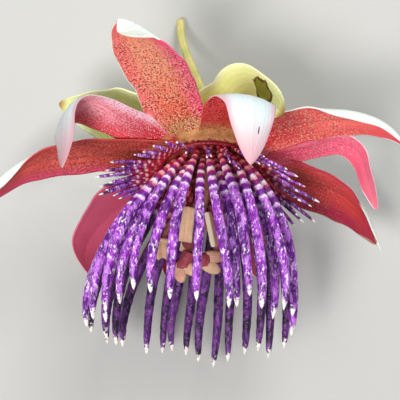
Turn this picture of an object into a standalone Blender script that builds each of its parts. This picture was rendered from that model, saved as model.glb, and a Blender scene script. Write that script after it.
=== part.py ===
"""A passion flower, picked and lying on its side.

The flower's axis runs from the stalk to the mouth of the corona. It points along -Y and leans up by TILT.
Every shape is made round the centre of the floral cup's rim, and one empty carries them all to their
place over the ground, which is the plane Z = 0. Azimuths are counted round the axis from +X, and 90 degrees
points away from the table.
"""

import math
import random
from collections import namedtuple

import bmesh
import bpy
from mathutils import Matrix, Vector

MM = 0.001
GAP = 0.3 * MM

# Attitude of the flower over the table.
TILT = math.radians(33.0)
CUP_HEIGHT = 28.5 * MM
RIGHT = Vector((1.0, 0.0, 0.0))
UPPER = Vector((0.0, math.sin(TILT), math.cos(TILT)))
AXIS = Vector((0.0, -math.cos(TILT), math.sin(TILT)))
FORWARD = Vector((0.0, -1.0, 0.0))

# Floral cup: radii and heights along the axis, measured from the rim.
RIM_RADIUS = 12.6 * MM
RIM_DEPTH = 4.4 * MM
BOWL_RADIUS = 6.6 * MM
BOWL_DEPTH = 5.0 * MM
BOWL_FLOOR_RADIUS = 4.2 * MM
CUP_DEPTH = 13.0 * MM
NECK_RADIUS = 2.4 * MM
CUP_STEPS = 36

# Sepals, petals and bracts.
SEPAL_SEAT = 3.7 * MM
PETAL_SEAT = 1.0 * MM
BLADE_SEAT_RADIUS = RIM_RADIUS + 0.5 * MM
BRACT_SEAT = 13.3 * MM
BRACT_SEAT_RADIUS = 3.5 * MM
SEPAL_THICKNESS = 1.2 * MM
PETAL_THICKNESS = 0.9 * MM
BRACT_THICKNESS = 0.8 * MM
FOLD_SPAN = 0.40
NARROW_TIP = 0.07
ROWS_ALONG = 12
ROWS_ACROSS = 6

# Corona.
RING_INNER_RADIUS = 11.6 * MM
RING_OUTER_RADIUS = 12.5 * MM
RING_HEIGHT = 0.9 * MM
SHORT_COUNT = 50
SHORT_LENGTH = 15.5 * MM
SHORT_STEPS = 4
SHORT_LIFT = math.radians(26.0)
SHORT_LIFT_NEAR = math.radians(28.0)
SHORT_TAPER = 0.45
SHORT_LENGTH_SHARES = (0.82, 1.08)
SHORT_LIFT_SPREAD = math.radians(5.0)
SHORT_TURN_SPREAD = math.radians(3.0)
SHORT_LIFT_SHARES = (0.55, 1.15)
LONG_RADIUS = 1.12 * MM
LONG_STEPS = 9
LONG_FOOT_HEIGHT = 1.0 * MM
LONG_OUTWARD = 0.8
LONG_FOOT_SHARE = 0.76
LONG_TIP_SHARE = 0.5
OUTER_ROW_RADIUS = 9.6 * MM
INNER_ROW_RADIUS = 7.4 * MM
BELL_CENTRE = Vector((-4.6, -40.0, 4.0)) * MM
BELL_OUTER_RADIUS = 25.4 * MM
BELL_INNER_RADIUS = 21.0 * MM
BELL_TILT = math.radians(20.0)

# Column, ovary, stamens and styles.
COLUMN_RADIUS = 1.3 * MM
COLUMN_TIP = Vector((-3.0, -13.5, 3.0)) * MM
COLUMN_STEPS = 7
OVARY_RADIUS = 2.6 * MM
OVARY_LENGTH = 7.0 * MM
STAMEN_RADIUS = 0.6 * MM
STAMEN_FOOT = 1.4 * MM
STAMEN_STEPS = 5
ANTHER_SIZE = Vector((3.7, 1.7, 9.0)) * MM
ANTHER_ROUNDING = 0.7 * MM
STYLE_RADIUS = 0.6 * MM
STYLE_SPACING = 1.4 * MM
STYLE_STEPS = 6
STIGMA_RADIUS = 1.9 * MM

# Stalk.
STALK_RADIUS = 1.15 * MM
STALK_END = Vector((-7.4, 39.5, 0.0)) * MM
STALK_END_HEIGHT = 0.9 * MM
STALK_STEPS = 8

Blade = namedtuple(
    "Blade", "name azimuth sweep lift rise fold fold_at length width roll twist"
)
# Angles in degrees, sizes in millimetres. lift is the angle above the rim's plane at the base, rise is
# what it gains evenly, and fold what it gains past fold_at. sweep turns the blade round the axis.
SEPALS = (
    Blade("sepal_top", 112, -10, -17, 35, 16, 0.63, 46.5, 20.5, -8, -21),
    Blade("sepal_left", 183, -18, -6, 26, 37, 0.46, 50.5, 14, -1, 3),
    Blade("sepal_lower", 254, -4, -2, 56, 24, 0.50, 36, 14.5, 0, 0),
    Blade("sepal_lower_right", -26, 37, -7, 52, 29, 0.40, 42.5, 15, -7, -2),
    Blade("sepal_right", 32, -27, -9, 39, 28, 0.61, 42, 12.5, -4, 0),
)
PETALS = (
    Blade("petal_left", 145, 25, -18, -14, 119, 0.34, 45.5, 15, 3, -20),
    Blade("petal_lower_left", 216, 10, -5, 52, 75, 0.56, 41.5, 17.5, -1, -8),
    Blade("petal_lower", 290, 4, -7, 56, 24, 0.50, 35, 13, 0, 0),
    Blade("petal_right", 5, -26, -18, -16, 110, 0.34, 42.5, 9, -2, -12),
    Blade("petal_top_right", 71, -1, 0, -8, 107, 0.31, 40.5, 14.5, -2, 3),
)
BRACTS = (
    Blade("bract_right", 66, -44, -6, -18, 78, 0.28, 29, 16.5, 0, -75),
    Blade("bract_left", 164, 17, 1, -10, 0, 0.60, 35, 16, 2, 12),
    Blade("bract_lower", 288, 0, -13, 42, 10, 0.60, 28, 15.0, 0, 0),
)

# Width along a blade: share of the full width at its base, where it is widest, and how blunt it ends.
Outline = namedtuple("Outline", "base belly bluntness cupping")
SEPAL_OUTLINE = Outline(0.70, 0.40, 3.0, 0.15)
PETAL_OUTLINE = Outline(0.62, 0.42, 2.6, 0.15)
BRACT_OUTLINE = Outline(0.30, 0.50, 3.0, 0.25)

# Each long filament of the corona: its row (0 is the outer one), the azimuths of its foot and its tip in
# degrees, and how many millimetres further forward than the bell's plane its tip reaches.
Filament = namedtuple("Filament", "row foot tip reach")
LONG_FILAMENTS = (
    Filament(0, 38, 6, -2.5), Filament(1, 46, 15, -1.0), Filament(0, 51, 27, -1.5),
    Filament(1, 66, 36, -2.0), Filament(0, 62, 49, 0.4), Filament(0, 77, 57, -1.9),
    Filament(1, 81, 58, -0.4), Filament(0, 91, 70, 1.6), Filament(1, 99, 85, -1.1),
    Filament(0, 106, 101, -0.2), Filament(1, 117, 117, -3.5), Filament(0, 124, 122, -3.4),
    Filament(0, 143, 143, 0.0), Filament(1, 136, 144, -2.7), Filament(0, 157, 158, 0.3),
    Filament(1, 163, 168, -0.5), Filament(0, 173, 176, 0.0), Filament(1, 181, 188, 1.4),
    Filament(0, 190, 195, -1.1), Filament(1, 202, 208, 1.3), Filament(0, 212, 213, 0.0),
    Filament(0, 227, 228, -0.8), Filament(1, 233, 238, 1.5), Filament(0, 245, 254, -0.5),
    Filament(1, 252, 257, 0.0), Filament(0, 263, 268, -0.2), Filament(1, 274, 275, 2.8),
    Filament(0, 281, 284, 3.1), Filament(1, 293, 296, 3.3), Filament(0, 301, 303, 0.8),
    Filament(0, 316, 321, 3.1), Filament(1, 324, 324, 2.3), Filament(0, 334, 338, 2.4),
    Filament(0, 351, 351, 0.6),
)

# Middle of each anther in millimetres from the rim's centre, its long direction and its flat side's.
Stamen = namedtuple("Stamen", "name anther along facing")
STAMENS = (
    Stamen("stamen_upper", (-5.4, -14.0, 7.4), (-0.12, -1.0, -0.05), (-0.2, 0.0, 1.0)),
    Stamen("stamen_left", (-11.0, -20.2, 1.6), (-0.1, -0.5, -0.8), (-0.3, -0.6, 0.75)),
    Stamen("stamen_lower_left", (-5.0, -16.8, -3.0), (-0.2, -1.0, 0.0), (-0.2, 0.0, -1.0)),
    Stamen("stamen_lower_right", (5.2, -23.8, -2.6), (0.08, -1.0, 0.0), (1.0, 0.0, -0.1)),
    Stamen("stamen_right", (0.5, -15.2, 6.9), (0.2, -1.0, 0.0), (1.0, 0.2, 0.25)),
)
# End of each style's stigma in millimetres from the rim's centre.
Style = namedtuple("Style", "name tip")
STYLES = (
    Style("style_1", (-5.8, -26.0, 3.8)),
    Style("style_2", (1.4, -23.6, 1.2)),
    Style("style_3", (-5.4, -24.2, -3.4)),
)


# ---- helpers ---------------------------------------------------------------------------------------


def clear_scene():
    for item in list(bpy.data.objects):
        bpy.data.objects.remove(item, do_unlink=True)


def new_collection(name):
    collection = bpy.data.collections.new(name)
    bpy.context.scene.collection.children.link(collection)
    return collection


def make_material(name, colour, roughness):
    material = bpy.data.materials.new(name)
    material.use_nodes = True
    shader = material.node_tree.nodes["Principled BSDF"]
    shader.inputs["Base Color"].default_value = (*colour, 1.0)
    shader.inputs["Roughness"].default_value = roughness
    shader.inputs["Metallic"].default_value = 0.0
    return material


def add_object(name, data, material, collection, carrier):
    item = bpy.data.objects.new(name, data)
    collection.objects.link(item)
    item.parent = carrier
    data.materials.append(material)
    return item


def smooth_step(value):
    value = min(max(value, 0.0), 1.0)
    return value * value * (3.0 - 2.0 * value)


def radial(angle):
    """Unit vector away from the flower's axis at this azimuth."""
    return math.cos(angle) * RIGHT + math.sin(angle) * UPPER


def around(angle):
    """Unit vector round the flower's axis at this azimuth."""
    return math.cos(angle) * UPPER - math.sin(angle) * RIGHT


def bezier(points, t):
    a, b, c, d = points
    s = 1.0 - t
    return s**3 * a + 3.0 * s * s * t * b + 3.0 * s * t * t * c + t**3 * d


def tube_curve(name, points, radii, resolution):
    """A tapered tube with filled caps through these points."""
    curve = bpy.data.curves.new(name, "CURVE")
    curve.dimensions = "3D"
    curve.bevel_depth = 1.0
    curve.bevel_resolution = resolution
    curve.use_fill_caps = True
    spline = curve.splines.new("POLY")
    spline.points.add(len(points) - 1)
    for knot, place, radius in zip(spline.points, points, radii):
        knot.co = (*place, 1.0)
        knot.radius = radius
    return curve


# ---- sepals, petals and bracts ---------------------------------------------------------------------


def blade_stations(blade, outline, seat_radius, seat_depth):
    """Centre, side direction, inner normal and half width of the blade at each step along it."""
    step = blade.length * MM / ROWS_ALONG
    centre = seat_radius * radial(math.radians(blade.azimuth)) - seat_depth * AXIS
    heading_before = None
    stations = []
    for row in range(ROWS_ALONG + 1):
        along = row / ROWS_ALONG
        azimuth = math.radians(blade.azimuth + blade.sweep * along)
        curl = blade.fold * smooth_step((along - blade.fold_at) / FOLD_SPAN)
        lift = math.radians(blade.lift + blade.rise * along + curl)
        outward = radial(azimuth)
        heading = math.cos(lift) * outward + math.sin(lift) * AXIS
        if heading_before is not None:
            centre = centre + 0.5 * step * (heading + heading_before)
        heading_before = heading
        inner = math.cos(lift) * AXIS - math.sin(lift) * outward
        side = around(azimuth)
        roll = math.radians(blade.roll + blade.twist * along)
        turned_side = math.cos(roll) * side + math.sin(roll) * inner
        turned_inner = math.cos(roll) * inner - math.sin(roll) * side
        rise = outline.base + (1.0 - outline.base) * smooth_step(along / outline.belly)
        taper = math.sqrt(max(1.0 - along**outline.bluntness, NARROW_TIP**2))
        half_width = 0.5 * blade.width * MM * rise * taper
        stations.append((centre, turned_side, turned_inner, half_width))
    return stations


def blade_mesh(blade, outline, seat_radius, seat_depth, thickness):
    """A grid laid along the blade's stations, with its edges curled towards the inner face."""
    stations = blade_stations(blade, outline, seat_radius, seat_depth)
    table = 0.5 * thickness - CUP_HEIGHT
    sheet = bmesh.new()
    bmesh.ops.create_grid(sheet, x_segments=ROWS_ACROSS, y_segments=ROWS_ALONG, size=1.0)
    for vertex in sheet.verts:
        across = vertex.co.x
        row = round((vertex.co.y + 1.0) / 2.0 * ROWS_ALONG)
        centre, side, inner, half_width = stations[row]
        place = centre + half_width * (across * side + outline.cupping * across**2 * inner)
        place.z = max(place.z, table)
        vertex.co = place
    mesh = bpy.data.meshes.new(blade.name)
    sheet.to_mesh(mesh)
    sheet.free()
    mesh.shade_smooth()
    return mesh


def add_blades(blades, outline, seat, thickness, material, collection, carrier):
    seat_radius, seat_depth = seat
    for blade in blades:
        mesh = blade_mesh(blade, outline, seat_radius, seat_depth, thickness)
        item = add_object(blade.name, mesh, material, collection, carrier)
        shell = item.modifiers.new("thickness", "SOLIDIFY")
        shell.thickness = thickness
        shell.offset = 0.0


# ---- floral cup ------------------------------------------------------------------------------------


def cup_profile():
    """Half section of the cup, from the middle of its bowl over the rim to the stalk."""
    return (
        (0.0, -BOWL_DEPTH),
        (BOWL_FLOOR_RADIUS, -BOWL_DEPTH),
        (BOWL_RADIUS - 0.6 * MM, -0.25 * BOWL_DEPTH),
        (BOWL_RADIUS, 0.0),
        (RIM_RADIUS - 0.3 * MM, 0.0),
        (RIM_RADIUS, -0.3 * MM),
        (RIM_RADIUS, -RIM_DEPTH),
        (RIM_RADIUS - 0.8 * MM, -RIM_DEPTH - 1.2 * MM),
        (0.74 * RIM_RADIUS, -0.62 * CUP_DEPTH),
        (0.46 * RIM_RADIUS, -0.86 * CUP_DEPTH),
        (NECK_RADIUS, -CUP_DEPTH),
        (0.0, -CUP_DEPTH),
    )


def add_cup(material, collection, carrier):
    profile = cup_profile()
    outline = bmesh.new()
    knots = [outline.verts.new((radius, 0.0, height)) for radius, height in profile]
    for start, end in zip(knots, knots[1:]):
        outline.edges.new((start, end))
    mesh = bpy.data.meshes.new("floral_cup")
    outline.to_mesh(mesh)
    outline.free()
    cup = add_object("floral_cup", mesh, material, collection, carrier)
    frame = Matrix((RIGHT, UPPER, AXIS)).transposed()
    cup.rotation_euler = frame.to_euler()
    turn = cup.modifiers.new("turned", "SCREW")
    turn.steps = CUP_STEPS
    turn.render_steps = CUP_STEPS
    turn.use_merge_vertices = True
    turn.merge_threshold = 0.00005
    turn.use_smooth_shade = True


# ---- corona ----------------------------------------------------------------------------------------


def ring_mesh():
    """A flat ring with one outer face for each short filament and one between each two."""
    ring = bmesh.new()
    segments = 2 * SHORT_COUNT
    bottom = GAP
    top = GAP + RING_HEIGHT
    corners = (
        (RING_OUTER_RADIUS, bottom),
        (RING_OUTER_RADIUS, top),
        (RING_INNER_RADIUS, top),
        (RING_INNER_RADIUS, bottom),
    )
    section = [ring.verts.new(radius * RIGHT + height * AXIS) for radius, height in corners]
    edges = [ring.edges.new((section[i], section[(i + 1) % 4])) for i in range(4)]
    bmesh.ops.spin(
        ring,
        geom=section + edges,
        cent=Vector(),
        axis=AXIS,
        angle=2.0 * math.pi,
        steps=segments,
        use_merge=True,
    )
    bmesh.ops.recalc_face_normals(ring, faces=ring.faces)
    return ring


def outer_faces(ring):
    """The ring's outermost faces in order of azimuth."""
    found = []
    for face in ring.faces:
        middle = face.calc_center_median()
        if middle.length > 0.5 * (RING_INNER_RADIUS + RING_OUTER_RADIUS):
            away = middle - middle.dot(AXIS) * AXIS
            if face.normal.dot(away.normalized()) > 0.9:
                angle = math.atan2(away.dot(UPPER), away.dot(RIGHT)) % (2.0 * math.pi)
                found.append((angle, face))
    found.sort(key=lambda pair: pair[0])
    return found


def grow_short_filament(ring, face, angle, chance):
    """Extrudes one face of the ring into a filament that tapers and droops."""
    length = SHORT_LENGTH * chance.uniform(*SHORT_LENGTH_SHARES)
    lift = SHORT_LIFT + SHORT_LIFT_NEAR * max(math.sin(angle), 0.0)
    lift += chance.uniform(-SHORT_LIFT_SPREAD, SHORT_LIFT_SPREAD)
    azimuth = angle + chance.uniform(-SHORT_TURN_SPREAD, SHORT_TURN_SPREAD)
    lift_at_base, lift_at_tip = SHORT_LIFT_SHARES
    start = face.calc_center_median()
    corners = [vertex.co - start for vertex in face.verts]
    for step in range(1, SHORT_STEPS + 1):
        along = step / SHORT_STEPS
        bend = lift * (lift_at_base + (lift_at_tip - lift_at_base) * along)
        heading = math.cos(bend) * radial(azimuth) + math.sin(bend) * AXIS
        start = start + heading * length / SHORT_STEPS
        face = bmesh.ops.extrude_discrete_faces(ring, faces=[face])["faces"][0]
        size = 1.0 - (1.0 - SHORT_TAPER) * along
        for vertex, corner in zip(face.verts, corners):
            vertex.co = start + size * corner


def add_outer_corona(material, collection, carrier):
    chance = random.Random(5)
    ring = ring_mesh()
    for angle, face in outer_faces(ring)[::2]:
        grow_short_filament(ring, face, angle, chance)
    bmesh.ops.recalc_face_normals(ring, faces=ring.faces)
    mesh = bpy.data.meshes.new("outer_corona")
    ring.to_mesh(mesh)
    ring.free()
    add_object("outer_corona", mesh, material, collection, carrier)


def long_filament_path(filament):
    """Curve points from the rim, out and then over towards the mouth of the bell."""
    foot_angle, tip_angle = math.radians(filament.foot), math.radians(filament.tip)
    foot_radius = (OUTER_ROW_RADIUS, INNER_ROW_RADIUS)[filament.row]
    bell_radius = (BELL_OUTER_RADIUS, BELL_INNER_RADIUS)[filament.row]
    foot = foot_radius * radial(foot_angle) + LONG_FOOT_HEIGHT * AXIS
    bell_up = Vector((0.0, math.sin(BELL_TILT), math.cos(BELL_TILT)))
    tip = BELL_CENTRE + bell_radius * (math.cos(tip_angle) * RIGHT + math.sin(tip_angle) * bell_up)
    tip += filament.reach * MM * FORWARD
    reach = (tip - foot).length
    rising = (LONG_OUTWARD * radial(foot_angle) + AXIS).normalized()
    hanging = (FORWARD - 0.12 * radial(tip_angle)).normalized()
    handles = (foot, foot + 0.42 * reach * rising, tip - 0.38 * reach * hanging, tip)
    return [bezier(handles, step / (LONG_STEPS - 1)) for step in range(LONG_STEPS)]


def long_filament_radii():
    """Slimmer at the foot, fullest in the middle and drawn out at the tip."""
    radii = []
    for step in range(LONG_STEPS):
        along = step / (LONG_STEPS - 1)
        swell = LONG_FOOT_SHARE + (1.0 - LONG_FOOT_SHARE) * smooth_step(along / 0.4)
        taper = 1.0 - (1.0 - LONG_TIP_SHARE) * smooth_step((along - 0.75) / 0.25)
        radii.append(LONG_RADIUS * swell * taper)
    return radii


def add_long_filaments(material, collection, carrier):
    radii = long_filament_radii()
    for number, filament in enumerate(LONG_FILAMENTS, 1):
        curve = tube_curve(f"long_filament_{number:02d}", long_filament_path(filament), radii, 1)
        add_object(curve.name, curve, material, collection, carrier)


# ---- column, ovary, stamens and styles -------------------------------------------------------------


def column_heading():
    """Direction of the column at its free end."""
    return (COLUMN_TIP - 0.45 * COLUMN_TIP.length * AXIS).normalized()


def add_column(material, collection, carrier):
    foot = (GAP - BOWL_DEPTH) * AXIS
    reach = (COLUMN_TIP - foot).length
    handles = (
        foot,
        foot + 0.4 * reach * AXIS,
        COLUMN_TIP - 0.4 * reach * column_heading(),
        COLUMN_TIP,
    )
    points = [bezier(handles, step / COLUMN_STEPS) for step in range(COLUMN_STEPS + 1)]
    radii = [COLUMN_RADIUS] * COLUMN_STEPS + [1.25 * COLUMN_RADIUS]
    curve = tube_curve("column", points, radii, 2)
    add_object("column", curve, material, collection, carrier)


def end_frame():
    """Axes at the column's end: across, up and along it."""
    along = column_heading()
    across = (RIGHT - RIGHT.dot(along) * along).normalized()
    return across, along.cross(across), along


def add_ovary(material, collection, carrier):
    across, upper, along = end_frame()
    place = Matrix((across, upper, along)).transposed().to_4x4()
    centre = COLUMN_TIP + (0.5 * OVARY_LENGTH + GAP) * along
    shape = bmesh.new()
    bmesh.ops.create_uvsphere(shape, u_segments=12, v_segments=8, radius=OVARY_RADIUS)
    stretch = Matrix.Diagonal((1.0, 1.0, 0.5 * OVARY_LENGTH / OVARY_RADIUS, 1.0))
    bmesh.ops.transform(shape, matrix=Matrix.Translation(centre) @ place @ stretch, verts=shape.verts)
    mesh = bpy.data.meshes.new("ovary")
    shape.to_mesh(mesh)
    shape.free()
    mesh.shade_smooth()
    add_object("ovary", mesh, material, collection, carrier)


def as_welded_mesh(name, curve):
    """The tube of a curve as a closed mesh."""
    holder = bpy.data.objects.new(name, curve)
    bpy.context.scene.collection.objects.link(holder)
    evaluated = holder.evaluated_get(bpy.context.evaluated_depsgraph_get())
    mesh = bpy.data.meshes.new_from_object(evaluated)
    bpy.data.objects.remove(holder, do_unlink=True)
    shape = bmesh.new()
    shape.from_mesh(mesh)
    bmesh.ops.remove_doubles(shape, verts=shape.verts, dist=0.00001)
    shape.to_mesh(mesh)
    shape.free()
    mesh.name = name
    return mesh


def anther_mesh(name, centre, along, flat):
    """A rounded slab with its long side along one direction and its flat side facing another."""
    width = flat.cross(along).normalized()
    place = Matrix((width, flat, along)).transposed().to_4x4()
    size = Matrix.Diagonal((*ANTHER_SIZE, 1.0))
    shape = bmesh.new()
    bmesh.ops.create_cube(shape, size=1.0)
    bmesh.ops.transform(shape, matrix=size, verts=shape.verts)
    bmesh.ops.bevel(
        shape,
        geom=list(shape.edges),
        offset=ANTHER_ROUNDING,
        segments=2,
        profile=0.5,
        affect="EDGES",
    )
    bmesh.ops.transform(shape, matrix=Matrix.Translation(centre) @ place, verts=shape.verts)
    mesh = bpy.data.meshes.new(name)
    shape.to_mesh(mesh)
    shape.free()
    return mesh


def away_from_column(place):
    """Unit vector from the column's line to this place, square to the column."""
    along = column_heading()
    offset = place - COLUMN_TIP
    return (offset - offset.dot(along) * along).normalized()


def stamen_shapes(stamen):
    """Curve of the stamen's filament, and its anther."""
    centre = Vector(stamen.anther) * MM
    along = Vector(stamen.along).normalized()
    facing = Vector(stamen.facing)
    facing = (facing - facing.dot(along) * along).normalized()
    away = away_from_column(centre)
    foot = COLUMN_TIP - STAMEN_FOOT * column_heading() + (1.2 * COLUMN_RADIUS + GAP) * away
    reach = (centre - foot).length
    handles = (foot, foot + 0.4 * reach * away, centre - 0.4 * reach * facing, centre)
    points = [bezier(handles, step / STAMEN_STEPS) for step in range(STAMEN_STEPS + 1)]
    filament = tube_curve(stamen.name, points, [STAMEN_RADIUS] * len(points), 1)
    return filament, anther_mesh(stamen.name, centre, along, facing)


def add_stamens(material, collection, cutters, carrier):
    for stamen in STAMENS:
        filament_curve, anther = stamen_shapes(stamen)
        filament = as_welded_mesh(stamen.name + "_filament", filament_curve)
        helper = add_object(stamen.name + "_filament", filament, material, cutters, carrier)
        helper.hide_render = True
        helper.display_type = "WIRE"
        item = add_object(stamen.name, anther, material, collection, carrier)
        union = item.modifiers.new("joined", "BOOLEAN")
        union.operation = "UNION"
        union.object = helper


def add_styles(material, collection, carrier):
    along = column_heading()
    top = COLUMN_TIP + (OVARY_LENGTH + 2.0 * GAP) * along
    for style in STYLES:
        tip = Vector(style.tip) * MM
        away = away_from_column(tip)
        foot = top + STYLE_SPACING * away
        reach = (tip - foot).length
        handles = (foot, foot + 0.3 * reach * along, tip - 0.4 * reach * away, tip)
        points = [bezier(handles, step / STYLE_STEPS) for step in range(STYLE_STEPS + 1)]
        radii = [STYLE_RADIUS] * 4 + [1.3 * STYLE_RADIUS, STIGMA_RADIUS, 0.7 * STIGMA_RADIUS]
        add_object(style.name, tube_curve(style.name, points, radii, 1), material, collection, carrier)


# ---- stalk -----------------------------------------------------------------------------------------


def add_stalk(material, collection, carrier):
    foot = -(CUP_DEPTH + GAP) * AXIS
    end = STALK_END.copy()
    end.z = STALK_END_HEIGHT - CUP_HEIGHT
    reach = (end - foot).length
    arrival = (end - foot + 0.25 * reach * RIGHT).normalized()
    handles = (foot, foot - 0.35 * reach * AXIS, end - 0.35 * reach * arrival, end)
    points = [bezier(handles, step / STALK_STEPS) for step in range(STALK_STEPS + 1)]
    curve = tube_curve("peduncle", points, [STALK_RADIUS] * len(points), 2)
    add_object("peduncle", curve, material, collection, carrier)


# ---- assembly --------------------------------------------------------------------------------------


def box_of(collection):
    """Lowest and highest corner of everything in the collection, as it is shown."""
    graph = bpy.context.evaluated_depsgraph_get()
    corners = []
    for item in collection.objects:
        if item.type not in {"MESH", "CURVE"}:
            continue
        shown = item.evaluated_get(graph)
        mesh = shown.to_mesh()
        corners += [shown.matrix_world @ vertex.co for vertex in mesh.vertices]
        shown.to_mesh_clear()
    low = Vector(min(corner[axis] for corner in corners) for axis in range(3))
    high = Vector(max(corner[axis] for corner in corners) for axis in range(3))
    return low, high


def main():
    clear_scene()
    flower = new_collection("passion_flower")
    cutters = new_collection("helpers")
    carrier = bpy.data.objects.new("cup_rim_centre", None)
    flower.objects.link(carrier)

    sepal_red = make_material("sepal_red", (0.62, 0.07, 0.06), 0.5)
    petal_pink = make_material("petal_pink", (0.66, 0.10, 0.16), 0.5)
    bract_green = make_material("bract_green", (0.66, 0.72, 0.22), 0.5)
    stalk_green = make_material("stalk_green", (0.62, 0.66, 0.30), 0.5)
    cup_ochre = make_material("cup_ochre", (0.45, 0.30, 0.08), 0.5)
    corona_purple = make_material("corona_purple", (0.22, 0.05, 0.50), 0.5)
    ring_crimson = make_material("ring_crimson", (0.35, 0.02, 0.16), 0.5)
    column_cream = make_material("column_cream", (0.62, 0.40, 0.20), 0.5)

    add_stalk(stalk_green, flower, carrier)
    add_cup(cup_ochre, flower, carrier)
    bract_seat = (BRACT_SEAT_RADIUS, BRACT_SEAT)
    sepal_seat = (BLADE_SEAT_RADIUS, SEPAL_SEAT)
    petal_seat = (BLADE_SEAT_RADIUS, PETAL_SEAT)
    add_blades(BRACTS, BRACT_OUTLINE, bract_seat, BRACT_THICKNESS, bract_green, flower, carrier)
    add_blades(SEPALS, SEPAL_OUTLINE, sepal_seat, SEPAL_THICKNESS, sepal_red, flower, carrier)
    add_blades(PETALS, PETAL_OUTLINE, petal_seat, PETAL_THICKNESS, petal_pink, flower, carrier)
    add_outer_corona(ring_crimson, flower, carrier)
    add_long_filaments(corona_purple, flower, carrier)
    add_column(column_cream, flower, carrier)
    add_ovary(column_cream, flower, carrier)
    add_stamens(column_cream, flower, cutters, carrier)
    add_styles(column_cream, flower, carrier)

    low, high = box_of(flower)
    middle = 0.5 * (low + high)
    carrier.location = (-middle.x, -middle.y, CUP_HEIGHT)


main()
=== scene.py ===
# %% [markdown]
# # A passion flower, lying on its side
# The solids of this flower are ready: they say where each piece is and how it rests. This lesson gives
# every piece the surface of the living one. It goes from the outside in: bracts, sepals and petals, the
# long and the short filaments of the corona, cup and stalk, and last the stamens, ovary and stigmas.

# %% Load the solids
import math
import random
from collections import namedtuple

import bpy
import numpy as np
from mathutils import Matrix, Vector


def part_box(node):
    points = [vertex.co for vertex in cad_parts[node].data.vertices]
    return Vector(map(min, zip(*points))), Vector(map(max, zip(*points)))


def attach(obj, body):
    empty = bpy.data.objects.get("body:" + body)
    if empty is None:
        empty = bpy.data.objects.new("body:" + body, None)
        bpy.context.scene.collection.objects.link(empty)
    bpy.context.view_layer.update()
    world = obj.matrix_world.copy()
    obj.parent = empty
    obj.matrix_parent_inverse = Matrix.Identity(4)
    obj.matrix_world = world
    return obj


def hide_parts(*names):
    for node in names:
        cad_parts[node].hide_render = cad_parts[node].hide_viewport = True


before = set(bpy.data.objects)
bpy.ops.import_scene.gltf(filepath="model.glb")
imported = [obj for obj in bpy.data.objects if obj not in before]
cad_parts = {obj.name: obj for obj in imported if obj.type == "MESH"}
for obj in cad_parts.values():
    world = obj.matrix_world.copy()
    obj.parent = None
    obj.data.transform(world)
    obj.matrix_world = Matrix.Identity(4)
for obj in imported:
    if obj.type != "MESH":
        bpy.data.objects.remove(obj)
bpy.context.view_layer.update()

MM = 0.001
print("solids loaded:", len(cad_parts))

# %% [markdown]
# ## Directions of the flower
# The flower has an axis, from the stalk to the mouth of the corona. It leans up from the ground by 33
# degrees. Almost every piece is placed by its azimuth round that axis, so two small functions turn an
# azimuth into a direction. The middle of the cup's rim is the centre of them all. It isn't stored with the
# solids, but the cup is turned round the axis, so its box and its section together give the centre.

# %% Axes and centre
TILT = math.radians(33.0)
RIGHT = Vector((1.0, 0.0, 0.0))
UPPER = Vector((0.0, math.sin(TILT), math.cos(TILT)))
AXIS = Vector((0.0, -math.cos(TILT), math.sin(TILT)))
FORWARD = Vector((0.0, -1.0, 0.0))
CUP_SECTION = (
    (0.0, -5.0), (4.2, -5.0), (6.0, -1.25), (6.6, 0.0), (12.3, 0.0), (12.6, -0.3), (12.6, -4.4),
    (11.8, -5.6), (9.324, -8.06), (5.796, -11.18), (2.4, -13.0), (0.0, -13.0),
)


def radial(angle):
    """Unit vector away from the axis at this azimuth."""
    return math.cos(angle) * RIGHT + math.sin(angle) * UPPER


def cup_centre():
    low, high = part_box("floral_cup")
    reach_y = max(-h * math.cos(TILT) + r * math.sin(TILT) for r, h in CUP_SECTION) * MM
    reach_z = max(h * math.sin(TILT) + r * math.cos(TILT) for r, h in CUP_SECTION) * MM
    return Vector((0.5 * (low.x + high.x), high.y - reach_y, high.z - reach_z))


CENTRE = cup_centre()
print("middle of the rim, mm:", [round(c / MM, 2) for c in CENTRE])

# %% [markdown]
# ## Camera, ground and light
# The camera looks straight down on the flower from 450 mm above the cup, with a long lens, so the petals
# nearest to it are hardly enlarged. The ground is plain and pale. One soft light stands over the bell and
# reaches into the open faces, another behind the flower catches what is folded over, and the sky gives the
# rest. The Standard view keeps the strong reds and violets that a filmic one would wash out.

# %% Camera
CAMERA_HEIGHT = 450.0 * MM
CAMERA_PLACE = (-2.25 * MM, -8.0 * MM, CAMERA_HEIGHT)
FIELD = 100.0 * MM
SENSOR = 36.0

camera_data = bpy.data.cameras.new("camera")
camera_data.sensor_width = SENSOR
camera_data.lens = SENSOR * CAMERA_HEIGHT / FIELD
camera_data.clip_start = 0.01
camera_data.clip_end = 10.0
camera = bpy.data.objects.new("camera", camera_data)
camera.location = CENTRE + Vector(CAMERA_PLACE)
bpy.context.scene.collection.objects.link(camera)
bpy.context.scene.camera = camera
bpy.context.scene.view_settings.view_transform = "Standard"
print("lens, mm:", camera_data.lens)

# %% Lights


def add_light(name, place, size, power, colour):
    """A square light that faces the cup. Its place is counted from there, in metres."""
    lamp = bpy.data.lights.new(name, "AREA")
    lamp.size = size
    lamp.energy = power
    lamp.color = colour
    item = bpy.data.objects.new(name, lamp)
    item.location = CENTRE + Vector(place)
    item.rotation_euler = (-Vector(place)).to_track_quat("-Z", "Y").to_euler()
    bpy.context.scene.collection.objects.link(item)
    return item


add_light("key_light", (-0.18, -0.14, 0.56), size=0.20, power=3.2, colour=(1.0, 0.98, 0.95))
add_light("back_light", (0.16, 0.42, 0.42), size=0.30, power=2.7, colour=(1.0, 0.99, 0.97))
world = bpy.data.worlds.new("studio")
world.use_nodes = True
sky = world.node_tree.nodes["Background"].inputs
sky["Color"].default_value = (0.92, 0.95, 1.0, 1.0)
sky["Strength"].default_value = 0.30
bpy.context.scene.world = world
print("lights:", [light.name for light in bpy.data.lights])

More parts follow.
